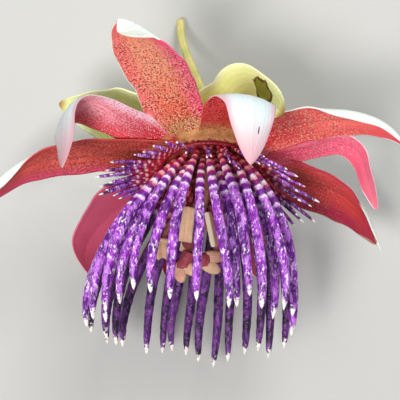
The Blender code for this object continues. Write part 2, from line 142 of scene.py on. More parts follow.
# %% [markdown]
# ## Small tools
# Modelling operators act on what is selected, so the first helpers select one piece alone. The others
# apply its modifiers, put its place into its mesh, and hang it on the flower's root, where the solid that
# it stands for is hidden.

# %% Tools for pieces


def fresh(add, name, **options):
    """Adds a primitive with nothing else selected, and names it."""
    bpy.ops.object.select_all(action="DESELECT")
    add(**options)
    item = bpy.context.object
    item.name = name
    return item


def only(item):
    """Makes this piece the one that operators act on."""
    bpy.ops.object.select_all(action="DESELECT")
    item.select_set(True)
    bpy.context.view_layer.objects.active = item


def apply_modifiers(item):
    only(item)
    for modifier in list(item.modifiers):
        bpy.ops.object.modifier_apply(modifier=modifier.name)


def settle(item):
    """Puts the place, turn and size of a piece into its mesh."""
    only(item)
    bpy.ops.object.transform_apply(location=True, rotation=True, scale=True)


def stand(item, place, directions, size=(1.0, 1.0, 1.0)):
    """Turns a piece's X, Y and Z into these directions and puts place, turn and size into its mesh."""
    turn = Matrix(directions).transposed().to_4x4()
    item.matrix_world = Matrix.Translation(place) @ turn @ Matrix.Diagonal((*size, 1.0))
    settle(item)
    bpy.ops.object.shade_smooth()


def copy_of(item, name):
    twin = item.copy()
    twin.data = item.data.copy()
    twin.name = name
    twin.data.name = name
    bpy.context.scene.collection.objects.link(twin)
    return twin


def join(items, name):
    """One piece out of several."""
    only(items[0])
    for item in items[1:]:
        item.select_set(True)
    bpy.ops.object.join()
    items[0].name = name
    items[0].data.name = name
    return items[0]


def remove(item):
    bpy.data.objects.remove(item, do_unlink=True)


def hand_over(item, node):
    """The piece rides with the flower on its root, and the solid that it stands for is hidden."""
    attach(item, "root")
    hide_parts(node)


# %% Tools for points and paths


def points_of(mesh):
    flat = np.empty(len(mesh.vertices) * 3)
    mesh.vertices.foreach_get("co", flat)
    return flat.reshape(-1, 3)


def place_points(mesh, points):
    mesh.vertices.foreach_set("co", np.asarray(points, dtype=np.float32).ravel())
    mesh.update()


def set_uv(mesh, u, v):
    """Writes one pair of numbers for each vertex into the mesh's UV map."""
    layer = mesh.uv_layers.get("UVMap") or mesh.uv_layers.new(name="UVMap")
    corners = np.empty(len(mesh.loops), dtype=np.int32)
    mesh.loops.foreach_get("vertex_index", corners)
    pairs = np.column_stack((np.asarray(u)[corners], np.asarray(v)[corners]))
    layer.data.foreach_set("uv", pairs.astype(np.float32).ravel())


def smooth_step(value, low=0.0, high=1.0):
    share = np.clip((np.asarray(value, dtype=float) - low) / (high - low), 0.0, 1.0)
    return share * share * (3.0 - 2.0 * share)


def bezier(handles, t):
    a, b, c, d = handles
    s = 1.0 - t
    return s**3 * a + 3.0 * s * s * t * b + 3.0 * s * t * t * c + t**3 * d


def path_between(foot, leaving, tip, arriving, pulls=(0.4, 0.4), steps=8):
    """Points of a path that leaves and arrives in these directions, the straighter the stronger the pulls."""
    reach = (tip - foot).length
    handles = (foot, foot + pulls[0] * reach * leaving, tip - pulls[1] * reach * arriving, tip)
    return [CENTRE + bezier(handles, step / steps) for step in range(steps + 1)]


# %% [markdown]
# ## Small tools for materials
# A material is a tree of nodes. Written out in full it is long, so `put` adds one node, sets its options
# and fills its inputs with numbers or with the outputs of other nodes. A *share* is a number that changes
# over the surface: sums and products of shares turn into Math nodes. Colours are laid over each other in
# *coats*, each where its share is high. They are given as in a paint program, from 0 to 255, and turned
# into the linear light that the shader wants.

# %% Tools for nodes


def tone(red, green, blue):
    """A paint program's colour as linear light."""
    parts = [c / 255.0 for c in (red, green, blue)]
    linear = [c / 12.92 if c <= 0.04045 else ((c + 0.055) / 1.055) ** 2.4 for c in parts]
    return (*linear, 1.0)


def put(tree, kind, inputs, **options):
    """Adds a node. An input is given by name or number, and its value is a constant, a socket or a share."""
    item = tree.nodes.new(kind)
    for key, value in options.items():
        setattr(item, key, value)
    for key, value in inputs.items():
        value = getattr(value, "socket", value)
        if isinstance(value, bpy.types.NodeSocket):
            tree.links.new(value, item.inputs[key])
        else:
            item.inputs[key].default_value = value
    return item.outputs


# %% Shares


class Share:
    """A number that changes over the surface: a node's output that can be reckoned with."""

    def __init__(self, socket):
        self.socket = socket

    def calc(self, operation, *others):
        inputs = dict(enumerate((self, *others)))
        return Share(put(self.socket.id_data, "ShaderNodeMath", inputs, operation=operation)[0])

    def __add__(self, other):
        return self.calc("ADD", other)

    def __sub__(self, other):
        return self.calc("SUBTRACT", other)

    def __mul__(self, other):
        return self.calc("MULTIPLY", other)

    def __truediv__(self, other):
        return self.calc("DIVIDE", other)

    def __abs__(self):
        return self.calc("ABSOLUTE")

    def between(self, low, high):
        """0 below low, 1 above high and smooth between. It runs backwards if low is the higher one."""
        inputs = {"Value": self, "From Min": low, "From Max": high}
        tree = self.socket.id_data
        return Share(put(tree, "ShaderNodeMapRange", inputs, interpolation_type="SMOOTHSTEP")["Result"])


def noise(vector, scale, detail=2.0, roughness=0.5):
    inputs = {"Vector": vector, "Scale": scale, "Detail": detail, "Roughness": roughness}
    return Share(put(vector.id_data, "ShaderNodeTexNoise", inputs)["Fac"])


# %% Coats of colour


def coats(colour, *layers):
    """Lays colours over the first one, each where its share is high. 6, 7 and 2 are the colour sockets."""
    for share, over in layers:
        inputs = {0: share, 6: colour, 7: over}
        colour = put(share.socket.id_data, "ShaderNodeMix", inputs, data_type="RGBA")[2]
    return colour


def colour_ramp(share, stops):
    """Colours that follow each other as the share grows."""
    output = put(share.socket.id_data, "ShaderNodeValToRGB", {"Fac": share})["Color"]
    ramp = output.node.color_ramp
    while len(ramp.elements) > 1:
        ramp.elements.remove(ramp.elements[-1])
    ramp.elements[0].position, ramp.elements[0].color = stops[0]
    for position, colour in stops[1:]:
        ramp.elements.new(position).color = colour
    return output


# %% [markdown]
# ## Effects that several finishes share
# Three effects come back all over the flower, so each is a node group. *Dots* are the fine freckles of
# the sepals and petals. *Long veins* are lines that run from base to tip and wander a little. *Living
# skin* is the fine grain of plant cells, which gives the surface its soft broken gloss, with broad patches
# that shift its colour. A scale is the number of cells in a metre: 2000 makes cells of half a millimetre.

# %% Group helper


def new_group(name, inputs, outputs):
    """A node group with named sockets: a vector where the value is None. Returns its tree and its ends."""
    group = bpy.data.node_groups.new(name, "ShaderNodeTree")
    for label, value in inputs.items():
        kind = "NodeSocketVector" if value is None else "NodeSocketFloat"
        socket = group.interface.new_socket(name=label, in_out="INPUT", socket_type=kind)
        if value is not None:
            socket.default_value = value
    for label in outputs:
        group.interface.new_socket(name=label, in_out="OUTPUT", socket_type="NodeSocketFloat")
    return group, put(group, "NodeGroupInput", {}), group.nodes.new("NodeGroupOutput").inputs


# %% Dots
DOTS, given, result = new_group("dots", {"Vector": None, "Scale": 1800.0, "Size": 0.3}, ("Mask",))
cells = put(DOTS, "ShaderNodeTexVoronoi", {"Vector": given["Vector"], "Scale": given["Scale"]})
size = Share(given["Size"])
DOTS.links.new(Share(cells["Distance"]).between(size, size * 0.55).socket, result["Mask"])
print("group:", DOTS.name)

# %% Long veins
VEINS, given, result = new_group(
    "long_veins", {"Across": 0.5, "Vector": None, "Count": 20.0, "Wander": 0.4}, ("Mask",)
)
drift = noise(given["Vector"], 220.0) * given["Wander"]
wave = ((Share(given["Across"]) * given["Count"] + drift) * (2.0 * math.pi)).calc("SINE")
VEINS.links.new(wave.between(0.35, 1.0).socket, result["Mask"])
print("group:", VEINS.name)

# %% Living skin
SKIN, given, result = new_group("living_skin", {"Vector": None, "Scale": 3000.0}, ("Height", "Patches"))
cells = put(SKIN, "ShaderNodeTexVoronoi", {"Vector": given["Vector"], "Scale": given["Scale"]})
SKIN.links.new(cells["Distance"], result["Height"])
SKIN.links.new(noise(given["Vector"], Share(given["Scale"]) * 0.09, 3.0).socket, result["Patches"])
print("group:", SKIN.name)

# %% [markdown]
# ## A finish in the making
# Every finish on this flower starts in the same way: the piece's Object coordinates for all that is
# scattered, its UV map for all that runs across or along it, and the living skin over the whole. It ends in
# the same way too, with colour, roughness and bump in the shader. So a class holds the beginning and the
# end, and each finish only says what lies between.

# %% Finish


class Finish:
    """A material in the making, with its coordinates and the shared effects."""

    def __init__(self, name, grain):
        self.material = bpy.data.materials.new(name)
        self.material.use_nodes = True
        self.tree = self.material.node_tree
        coordinates = put(self.tree, "ShaderNodeTexCoord", {})
        self.vector = coordinates["Object"]
        uv = put(self.tree, "ShaderNodeSeparateXYZ", {0: coordinates["UV"]})
        self.across, self.along = Share(uv["X"]), Share(uv["Y"])
        skin = self.effect(SKIN, Scale=grain)
        self.grain, self.patches = Share(skin["Height"]), Share(skin["Patches"])

    def effect(self, group, **inputs):
        """Places one of the shared effects and returns its outputs."""
        return put(self.tree, "ShaderNodeGroup", {"Vector": self.vector, **inputs}, node_tree=group)

    def moved(self, **change):
        """The Object coordinates, shifted or drawn out."""
        return put(self.tree, "ShaderNodeMapping", {"Vector": self.vector, **change})[0]

    def noise(self, *numbers):
        return noise(self.vector, *numbers)

    def dots(self, scale, size):
        return Share(self.effect(DOTS, Scale=scale, Size=size)["Mask"])

    def other_dots(self, scale, size):
        """Dots that don't fall on the first ones."""
        vector = self.moved(Location=(0.031, 0.017, 0.005))
        return Share(self.effect(DOTS, Vector=vector, Scale=scale, Size=size)["Mask"])

    def veins(self, count, wander):
        return Share(self.effect(VEINS, Across=self.across, Count=count, Wander=wander)["Mask"])

    def done(self, colour, roughness, height, distance, strength, gloss):
        """Wires colour, roughness and bump into the shader, and returns the material."""
        inputs = {"Strength": strength, "Distance": distance, "Height": height}
        bump = put(self.tree, "ShaderNodeBump", inputs)
        shader = self.tree.nodes["Principled BSDF"].inputs
        self.tree.links.new(colour, shader["Base Color"])
        self.tree.links.new(roughness.socket, shader["Roughness"])
        self.tree.links.new(bump["Normal"], shader["Normal"])
        shader["Specular IOR Level"].default_value = gloss
        return self.material


# %% [markdown]
# ## Finish of the sepals' and petals' inner faces
# The inner face is red or pink, and no two blades are alike. So one function builds the finish from the
# blade's own tones: at the base, along the middle, and at its two margins. The blade's UV map runs
# across and along it. Right at the base the blade takes on the ochre of the cup, with a ragged border. Over
# that lie the freckles, dark ones and pale ones, which crowd together towards the base. A pale rim
# starts at a place of its own on each margin.

# %% Inner faces
Face = namedtuple(
    "Face",
    "base middle low_margin high_margin tip rim dark pale dark_share pale_share freckled_to veins"
    " ochre_to rim_from",
    defaults=(0.04, (0.35, 0.35)),
)
OCHRE = tone(190, 132, 90)


def face_material(name, face):
    blade = Finish(name, 2600.0)
    across, along, patches = blade.across, blade.along, blade.patches
    wide = (patches - 0.5) * 0.16 + across
    veins = blade.veins(face.veins, 0.6)
    uneven = blade.noise(300.0)
    ragged = uneven * 0.12 + along
    crowd = uneven.between(0.28, 0.60) * 0.35 + 0.65
    fade = along.between(face.freckled_to, 0.6 * face.freckled_to) * crowd
    dark = blade.dots(1750.0, fade * 0.56) * face.dark_share
    pale = blade.other_dots(1950.0, fade.calc("MAXIMUM", 0.35) * 0.44) * face.pale_share
    low_rim, high_rim = (along.between(start, start + 0.2) for start in face.rim_from)
    widening = along.between(0.78, 0.98) * 0.12
    colour = coats(
        face.base,
        (along.between(0.05, 0.48), face.middle),
        (wide.between(0.38, 0.08), face.low_margin),
        (wide.between(0.62, 0.92), face.high_margin),
        (along.between(0.68, 0.96), face.tip),
        (veins * 0.16, face.dark),
        (patches.between(0.48, 0.72) * 0.22, face.base),
        (ragged.between(face.ochre_to + 0.11, face.ochre_to + 0.03), OCHRE),
        (dark, face.dark),
        (pale, face.pale),
        ((across - widening).between(0.024, 0.006) * low_rim, face.rim),
        ((across + widening).between(0.976, 0.994) * high_rim, face.rim),
    )
    height = veins * -0.5 + blade.grain + (pale - dark)
    return blade.done(colour, patches * 0.25 + 0.38, height, 0.10 * MM, 0.8, 0.20)


# %% [markdown]
# ## Finish of the reverse of a blade
# The outside of a petal is almost white, with a breath of pink along its margins and towards its base. A
# sepal's outside is white too, and turns green towards its base. One function serves both, and the
# bracts as well, which are yellow-green all over. The red of the inner face runs over the very edge of
# a blade for part of its length, so that no white line shows there. A blemish is a ragged spot with a ring.

# %% Reverse faces
Back = namedtuple(
    "Back",
    "base middle margin tip vein veins vein_share tip_from edge edge_to",
    defaults=(0.92, None, (0, 0)),
)
Blemish = namedtuple("Blemish", "place reach inside ring")


def back_material(name, back, blemish=None):
    blade = Finish(name, 2300.0)
    across, along, patches = blade.across, blade.along, blade.patches
    veins = blade.veins(back.veins, 0.5)
    ragged = patches * 0.10 + abs(across - 0.5)
    layers = [
        (along.between(0.05, 0.5), back.middle),
        (ragged.between(0.36, 0.55), back.margin),
        (along.between(back.tip_from, 1.0), back.tip),
        (veins * back.vein_share, back.vein),
        (patches.between(0.5, 0.75) * back.vein_share, back.vein),
    ]
    if back.edge:
        for sides, reach in zip(((0.015, 0.005), (0.985, 0.995)), back.edge_to):
            layers.append((across.between(*sides) * along.between(reach + 0.08, reach), back.edge))
    if blemish:
        off_across = (across - blemish.place[0]) / blemish.reach[0]
        off_along = (along - blemish.place[1]) / blemish.reach[1]
        distance = (off_across * off_across + off_along * off_along).calc("SQRT")
        spot = (blade.noise(420.0, 3.0) - 0.5) * 1.1 + distance
        layers += [(spot.between(1.10, 0.98), blemish.ring), (spot.between(0.90, 0.80), blemish.inside)]
    colour = coats(back.base, *layers)
    return blade.done(colour, patches * 0.25 + 0.36, veins * 0.4 + blade.grain, 0.09 * MM, 0.6, 0.35)


# %% [markdown]
# ## Shape of a blade
# Sepals, petals and bracts are all blades: a sheet that leaves the cup at some azimuth, bends along its
# length, rolls its margins in and ends in a tip. It could be sculpted, or cut from a curved surface. A flat
# grid is simpler: each row of the grid is laid across the blade's midline, and the midline is found by
# walking from the base in small steps while the lift changes. The base is wrapped round the cup and sunk
# into it, so blade and cup grow into each other. Solidify gives the sheet a wall that is thinner at the
# margins, and puts the outer face on a finish of its own.

# %% Blade numbers
# Angles are in degrees, lengths and widths in millimetres. The azimuth changes by sweep from base to tip.
# The lift out of the rim's plane changes by rise, and by fold over a stretch that begins at fold_at. The
# blade is rolled about its midline by roll, and by twist more at its tip.
Blade = namedtuple("Blade", "node azimuth sweep lift rise fold fold_at length width roll twist")
SEPALS = (
    Blade("sepal_top", 112, -10, -17, 35, 8, 0.63, 47.5, 20.5, -8, -21),
    Blade("sepal_left", 183, -8, -6, 26, 37, 0.46, 50.5, 14, -1, 3),
    Blade("sepal_lower", 254, -4, -2, 56, 24, 0.50, 31, 14.5, 0, 0),
    Blade("sepal_lower_right", -26, 37, -7, 52, 29, 0.40, 41, 15, -7, -2),
    Blade("sepal_right", 32, -27, -9, 39, 28, 0.61, 42, 12.5, -4, 0),
)
PETALS = (
    Blade("petal_left", 145, 25, -18, -14, 119, 0.345, 46.5, 15, 3, -20),
    Blade("petal_lower_left", 216, 10, -5, 52, 75, 0.56, 40.5, 17.5, -1, -8),
    Blade("petal_lower", 290, 4, -7, 56, 24, 0.50, 30, 13, 0, 0),
    Blade("petal_right", 5, -26, -18, -16, 110, 0.34, 44, 9, -2, -12),
    Blade("petal_top_right", 72.5, 0, 0, -8, 107, 0.31, 38.8, 14.5, -2, 3),
)
BRACTS = (
    Blade("bract_right", 65, -45, -6, -20, 78, 0.28, 30.3, 16.5, 0, -75),
    Blade("bract_left", 164, 17, 1, -10, 0, 0.60, 35, 16, 2, 12),
    Blade("bract_lower", 288, 0, -13, 42, 10, 0.60, 28, 15.0, 0, 0),
)

# What blades of one kind share: the base's part of the full width, where the full width is reached, how
# hollow the blade is, and in millimetres its wall, where its base sits on the cup and how far it is sunk in.
Outline = namedtuple("Outline", "base belly cupping thickness seat_radius seat_depth sunk")
SEPAL_OUTLINE = Outline(0.70, 0.40, 0.15, 1.2, 13.1, 3.7, 1.6)
PETAL_OUTLINE = Outline(0.62, 0.42, 0.15, 0.9, 13.1, 1.0, 1.6)
BRACT_OUTLINE = Outline(0.30, 0.50, 0.25, 0.8, 3.5, 13.3, 1.2)
FOLD_SPAN = 0.40
NARROW_TIP = 0.02
EDGE_THINNING = 0.30
print("blades:", [blade.node for blade in SEPALS + PETALS + BRACTS])

# %% [markdown]
# ## Habits of the blades
# On the living flower no blade is like its neighbour: one rolls a margin in, one folds its tip over, one
# is broad on one side. Copies of one mesh could be pushed about by hand, but a few numbers for each blade
# say the same and can be read. The width follows (1 - s**power)**narrow towards the tip, and low_extra and
# high_extra widen one side at the base, at 0.3 and at 0.6 of the length. The tuck moves the base back along
# the axis, and low_drop presses one margin back near the base. The margins are rolled in by low_roll and
# high_roll degrees, and hood folds the tip over a line that is turned by hood_skew degrees. An awn is a soft
# point. Widths, tuck, drop, ripple, groove and awn are in millimetres.

# %% Blade habits
USUAL = {
    "power": 2.8, "narrow": 0.6, "low_extra": (0, 0, 0), "high_extra": (0, 0, 0), "tuck": 0, "low_drop": 0,
    "low_roll": 0, "high_roll": 0, "roll_from": 0.3, "hood": 0, "hood_at": 0.9, "hood_skew": 0,
    "ripple": 0.12, "ripples": 5.0, "groove": 0.20, "phase": 0.0, "awn": 0,
}
Habit = namedtuple("Habit", USUAL, defaults=USUAL.values())
FLARED = Habit(low_extra=(2.0, 0.4, 0.0), high_extra=(2.0, 0.4, 0.0))
HABITS = {
    "sepal_top": Habit(
        narrow=0.62, low_extra=(-3.0, -1.8, 0.8), high_extra=(3.5, -1.0, 0.8), low_drop=2.0,
        hood=105, hood_at=0.91, hood_skew=36, low_roll=-6, high_roll=10, groove=0.30, phase=0.4,
    ),
    "sepal_left": FLARED._replace(
        power=3.0, low_extra=(4.5, 3.4, -0.2), high_extra=(1, -1, 0.3), low_roll=150, roll_from=0.56,
        groove=0.35, phase=1.1, awn=2.0,
    ),
    "sepal_lower": FLARED._replace(power=2.6, narrow=0.7, awn=2.0),
    "sepal_lower_right": FLARED._replace(
        power=3.5, narrow=0.5, low_extra=(2.0, 1.5, 2.4), high_roll=25, roll_from=0.1, groove=0.60,
        phase=2.0, awn=3.0,
    ),
    "sepal_right": FLARED._replace(
        power=2.6, narrow=0.70, high_extra=(2, 1.2, 2.6), high_roll=98, roll_from=0.36, groove=0.30,
        phase=2.7, awn=2.0,
    ),
    "petal_left": FLARED._replace(
        power=4.2, narrow=0.70, low_extra=(-0.5, -2.4, -3.6), high_extra=(2, 0.8, 4.0), low_drop=2.5,
        tuck=2.2, groove=0.12, phase=0.9,
    ),
    "petal_lower_left": FLARED._replace(power=3.2, low_extra=(2, 3.2, -0.6), tuck=1.0, groove=0.15),
    "petal_lower": FLARED._replace(tuck=1.0),
    "petal_right": FLARED._replace(
        power=4.0, high_extra=(1, -1.6, -0.6), tuck=1.6, high_roll=30, roll_from=0.5, groove=0.10, phase=1.9
    ),
    "petal_top_right": FLARED._replace(
        power=3.0, narrow=0.80, high_extra=(1.5, 2.8, 0.8), tuck=2.4, groove=0.10, phase=3.3
    ),
    "bract_right": Habit(power=3.0, high_extra=(11, 0.4, -0.8), ripple=0.3, ripples=3.0),
    "bract_left": Habit(power=2.6, low_extra=(0, 1.6, 5.0), high_extra=(0, 2, 6.0), ripple=0.3),
    "bract_lower": Habit(),
}

# %% Midline of a blade
WALK_STEPS = 400


def midline(blade, outline, habit):
    """The blade's midline with its directions, found by small steps from the base."""
    s = np.linspace(0.0, 1.0, WALK_STEPS + 1)
    azimuth = np.radians(blade.azimuth + blade.sweep * s)
    lift = blade.lift + blade.rise * s + blade.fold * smooth_step(s, blade.fold_at, blade.fold_at + FOLD_SPAN)
    lift = np.radians(lift)
    right, upper, axis = (np.array(v) for v in (RIGHT, UPPER, AXIS))
    outward = np.cos(azimuth)[:, None] * right + np.sin(azimuth)[:, None] * upper
    side = np.cos(azimuth)[:, None] * upper - np.sin(azimuth)[:, None] * right
    heading = np.cos(lift)[:, None] * outward + np.sin(lift)[:, None] * axis
    inner = np.cos(lift)[:, None] * axis - np.sin(lift)[:, None] * outward
    step = blade.length * MM / WALK_STEPS
    walked = np.vstack((np.zeros(3), np.cumsum(0.5 * step * (heading[1:] + heading[:-1]), axis=0)))
    foot = outline.seat_radius * MM * outward[0] - outline.seat_depth * MM * axis
    held = 1.0 - smooth_step(s, 0.0, 0.35)[:, None]
    sunk = -MM * held * (outline.sunk * heading[0] + habit.tuck * axis)
    roll = np.radians(blade.roll + blade.twist * s)[:, None]
    turned_side = np.cos(roll) * side + np.sin(roll) * inner
    turned_inner = np.cos(roll) * inner - np.sin(roll) * side
    return s, np.array(CENTRE) + foot + walked + sunk, turned_side, turned_inner, heading


def at(s, table, places):
    """Reads a table of vectors at places between its rows."""
    return np.column_stack([np.interp(places, s, table[:, i]) for i in range(3)])


# %% Cross section of a blade
GRID_ACROSS = 28
SAMPLES = 40


def half_width(blade, outline, habit, s, extra):
    """Half width of one side of the blade."""
    rise = outline.base + (1.0 - outline.base) * smooth_step(s, 0.0, outline.belly)
    taper = np.maximum(1.0 - s**habit.power, 0.0) ** habit.narrow
    wider = np.interp(s, (0.0, 0.3, 0.6, 1.0), (*extra, 0.0)) * MM
    return (0.5 * blade.width * MM * rise + wider) * np.maximum(taper, NARROW_TIP)


def cross_section(s, roll, habit, cupping):
    """Where one side's points lie, to the side and to the inside, in half widths. Its margin rolls in."""
    samples = np.linspace(0.0, 1.0, SAMPLES + 1)
    middle = 0.5 * (samples[1:] + samples[:-1])
    gain = smooth_step(s, habit.roll_from, habit.roll_from + 0.35)[:, None]
    bend = np.radians(roll) * gain * smooth_step(middle, 0.35, 1.0) + np.arctan(2.0 * cupping * middle)
    start = np.zeros((len(s), 1))
    to_side = np.hstack((start, np.cumsum(np.cos(bend) / SAMPLES, axis=1)))
    to_inner = np.hstack((start, np.cumsum(np.sin(bend) / SAMPLES, axis=1)))
    picked = np.linspace(0, SAMPLES, GRID_ACROSS // 2 + 1)
    low = np.floor(picked).astype(int)
    share = picked - low
    high = np.minimum(low + 1, SAMPLES)
    return tuple(table[:, low] * (1.0 - share) + table[:, high] * share for table in (to_side, to_inner))


def both_sides(blade, outline, habit, s):
    """The cross section's two coordinates for every point of the grid, in metres."""
    halves = []
    for roll, extra in ((habit.low_roll, habit.low_extra), (habit.high_roll, habit.high_extra)):
        width = half_width(blade, outline, habit, s, extra)[:, None]
        to_side, to_inner = cross_section(s, roll, habit, outline.cupping)
        halves.append((width * to_side, width * to_inner))
    (low_side, low_inner), (high_side, high_inner) = halves
    to_side = np.hstack((-low_side[:, :0:-1], high_side))
    to_inner = np.hstack((low_inner[:, :0:-1], high_inner))
    return to_side, to_inner


# %% Points of a blade
GRID_ALONG = 96
FOLD_RADIUS = 0.6 * MM


def fold_over(place, centre, side, inner, heading, habit):
    """Bends what lies beyond the fold line towards the inner face, round a small radius."""
    skew, angle = math.radians(habit.hood_skew), math.radians(habit.hood)
    beyond = math.cos(skew) * heading - math.sin(skew) * side
    offset = place - centre
    past, above = offset @ beyond, offset @ inner
    along_line = offset - past[..., None] * beyond - above[..., None] * inner
    turn = np.clip(past / FOLD_RADIUS, 0.0, angle)
    rest = np.where(past > 0.0, past - FOLD_RADIUS * turn, past)
    new_past = FOLD_RADIUS * np.sin(turn) + rest * np.cos(turn) - above * np.sin(turn)
    new_above = FOLD_RADIUS * (1.0 - np.cos(turn)) + rest * np.sin(turn) + above * np.cos(turn)
    return centre + along_line + new_past[..., None] * beyond + new_above[..., None] * inner


def blade_points(blade, outline, habit):
    """Places of all the grid's points, row by row, with the shares along and across and the heading."""
    s = 1.0 - (1.0 - np.linspace(0.0, 1.0, GRID_ALONG + 1)) ** 1.5
    a = np.linspace(-1.0, 1.0, GRID_ACROSS + 1)[None, :]
    walk, *tables = midline(blade, outline, habit)
    centre, side, inner, heading = (at(walk, table, s) for table in tables)
    to_side, to_inner = both_sides(blade, outline, habit, s)
    fade = np.maximum(np.sin(math.pi * s), 0.0)[:, None] ** 0.5
    wave = np.sin(2.0 * math.pi * (habit.ripples * s[:, None] + 0.13 * np.sign(a)) + habit.phase)
    to_inner += habit.ripple * MM * wave * np.abs(a) ** 3 * fade
    to_inner -= habit.groove * MM * np.exp(-((a / 0.10) ** 2)) * fade
    drop = np.where(a < 0.0, habit.low_drop * MM, 0.0)
    to_inner -= drop * np.abs(a) ** 1.5 * (1.0 - smooth_step(s, 0.05, 0.45)[:, None])
    place = centre[:, None, :] + to_side[:, :, None] * side[:, None, :]
    place += to_inner[:, :, None] * inner[:, None, :]
    seat = 0.96 * outline.seat_radius * MM
    sag = seat - np.sqrt(seat**2 - np.minimum(np.abs(to_side), 0.92 * seat) ** 2)
    sag *= 1.0 - smooth_step(s, 0.0, 0.30)[:, None]
    place -= sag[:, :, None] * np.array(radial(math.radians(blade.azimuth)))
    if habit.hood:
        line = [at(s, table, [habit.hood_at])[0] for table in (centre, side, inner, heading)]
        place = fold_over(place, *line, habit)
    place[:, :, 2] = np.maximum(place[:, :, 2], 0.5 * outline.thickness * MM)
    return place, s, a, Vector(heading[-1])


# %% Blade with a wall


def blade_piece(blade, outline, face, back):
    """A grid laid along the blade, with a wall that thins out at its margins."""
    grid = {"x_subdivisions": GRID_ACROSS, "y_subdivisions": GRID_ALONG, "size": 2.0}
    item = fresh(bpy.ops.mesh.primitive_grid_add, blade.node + "_fine", **grid)
    mesh = item.data
    flat = points_of(mesh)
    column = np.rint((flat[:, 0] + 1.0) / 2.0 * GRID_ACROSS).astype(int)
    row = np.rint((flat[:, 1] + 1.0) / 2.0 * GRID_ALONG).astype(int)
    place, s, a, heading = blade_points(blade, outline, HABITS[blade.node])
    place_points(mesh, place[row, column])
    set_uv(mesh, column / GRID_ACROSS, s[row])
    thin = 1.0 - (1.0 - EDGE_THINNING) * smooth_step(np.abs(a), 0.35, 1.0)
    thin = thin * (1.0 - 0.5 * smooth_step(s, 0.8, 1.0)[:, None])
    group = item.vertex_groups.new(name="wall")
    for index, share in enumerate(thin[row, column]):
        group.add([index], float(share), "REPLACE")
    mesh.materials.append(back)
    mesh.materials.append(face)
    wall = item.modifiers.new("wall", "SOLIDIFY")
    wall.thickness = outline.thickness * MM
    wall.offset = 0.0
    wall.vertex_group = "wall"
    wall.material_offset = 1
    wall.material_offset_rim = 0
    apply_modifiers(item)
    bpy.ops.object.shade_smooth()
    return item, Vector(place[-1, GRID_ACROSS // 2]), heading


# %% [markdown]
# ## A thread to bend
# Filaments, stalk, styles and the fine points of the sepals are all round threads. A curve with a bevel
# would make each in one go, but its tip would stay a flat disc. So one straight thread of unit length is
# made by extruding a small circle again and again. A copy is stretched to the length of its path, shaped
# to its radii, and bent by a Curve modifier along that path.

# %% The straight thread


def straight_thread(name, sides, rings):
    """A closed tube of radius 1 and length 1 along X, grown ring by ring."""
    disc = {"vertices": sides, "radius": 1.0, "fill_type": "NGON", "rotation": (0.0, 0.5 * math.pi, 0.0)}
    item = fresh(bpy.ops.mesh.primitive_circle_add, name, **disc)
    settle(item)
    bpy.ops.object.mode_set(mode="EDIT")
    bpy.ops.mesh.select_all(action="SELECT")
    for _ in range(rings):
        bpy.ops.mesh.extrude_region_move(TRANSFORM_OT_translate={"value": (1.0 / rings, 0.0, 0.0)})
    bpy.ops.mesh.select_all(action="SELECT")
    bpy.ops.mesh.normals_make_consistent(inside=False)
    bpy.ops.object.mode_set(mode="OBJECT")
    points = points_of(item.data)
    turn = np.arctan2(points[:, 2], points[:, 1]) / (2.0 * math.pi) + 0.5
    set_uv(item.data, turn, points[:, 0])
    bpy.ops.object.shade_smooth()
    return item


thread = straight_thread("straight_thread", sides=12, rings=64)
short_thread = straight_thread("short_straight_thread", sides=6, rings=14)
print("faces of the thread:", len(thread.data.polygons))

# %% Bend a thread


def bent_thread(master, name, path, radii, stout=1.0, flatness=1.0):
    """A copy of the thread along a path. radii gives its radius in mm at some shares of its length."""
    item = copy_of(master, name)
    guide = bpy.data.curves.new(name + "_guide", "CURVE")
    guide.dimensions = "3D"
    guide.resolution_u = 16
    spline = guide.splines.new("BEZIER")
    spline.bezier_points.add(len(path) - 1)
    for knot, place in zip(spline.bezier_points, path):
        knot.co = place
        knot.handle_left_type = "AUTO"
        knot.handle_right_type = "AUTO"
    guide_object = bpy.data.objects.new(name + "_guide", guide)
    bpy.context.scene.collection.objects.link(guide_object)
    points = points_of(item.data)
    shares, sizes = zip(*radii)
    size = stout * MM * np.interp(points[:, 0], shares, sizes)
    points[:, 1] *= size
    points[:, 2] *= size * flatness
    points[:, 0] *= spline.calc_length()
    place_points(item.data, points)
    bend = item.modifiers.new("bend", "CURVE")
    bend.object = guide_object
    bend.deform_axis = "POS_X"
    apply_modifiers(item)
    remove(guide_object)
    bpy.data.curves.remove(guide)
    return item


def add_awn(blade_item, tip, heading, length, skin):
    """The soft point in which a sepal ends."""
    down = Vector((0.0, 0.0, -0.25))
    path = [tip + length * MM * (share * heading + share * share * down) for share in (-0.5, 0.0, 0.5, 1.0)]
    awn = bent_thread(short_thread, "awn", path, ((0.0, 0.35), (0.4, 0.32), (1.0, 0.08)))
    awn.data.materials.append(skin)
    return join([blade_item, awn], blade_item.name)


# %% [markdown]
# ## Bracts
# Three leaf-like bracts sit right behind the cup and wrapped the bud. They are thin and bright yellow-green.
# They are the simplest blades, so they come first. The right one is folded over and has a withered spot,
# which the finish paints with a ragged ring.

# %% Make the bracts
BRACT = Back(
    tone(238, 246, 140), tone(250, 255, 176), tone(253, 255, 206), tone(180, 120, 66), tone(222, 236, 110),
    veins=9.0, vein_share=0.26,
)
WITHERED = Blemish(place=(0.60, 0.70), reach=(0.24, 0.12), inside=tone(150, 152, 40), ring=tone(96, 66, 22))
for blade in BRACTS:
    spot = WITHERED if blade.node == "bract_right" else None
    outer = BRACT if spot else BRACT._replace(base=tone(214, 226, 116))
    face = back_material(blade.node + "_inner", BRACT, spot)
    back = back_material(blade.node + "_outer", outer, spot)
    bract, _, _ = blade_piece(blade, BRACT_OUTLINE, face, back)
    hand_over(bract, blade.node)
print("bracts:", len(BRACTS))

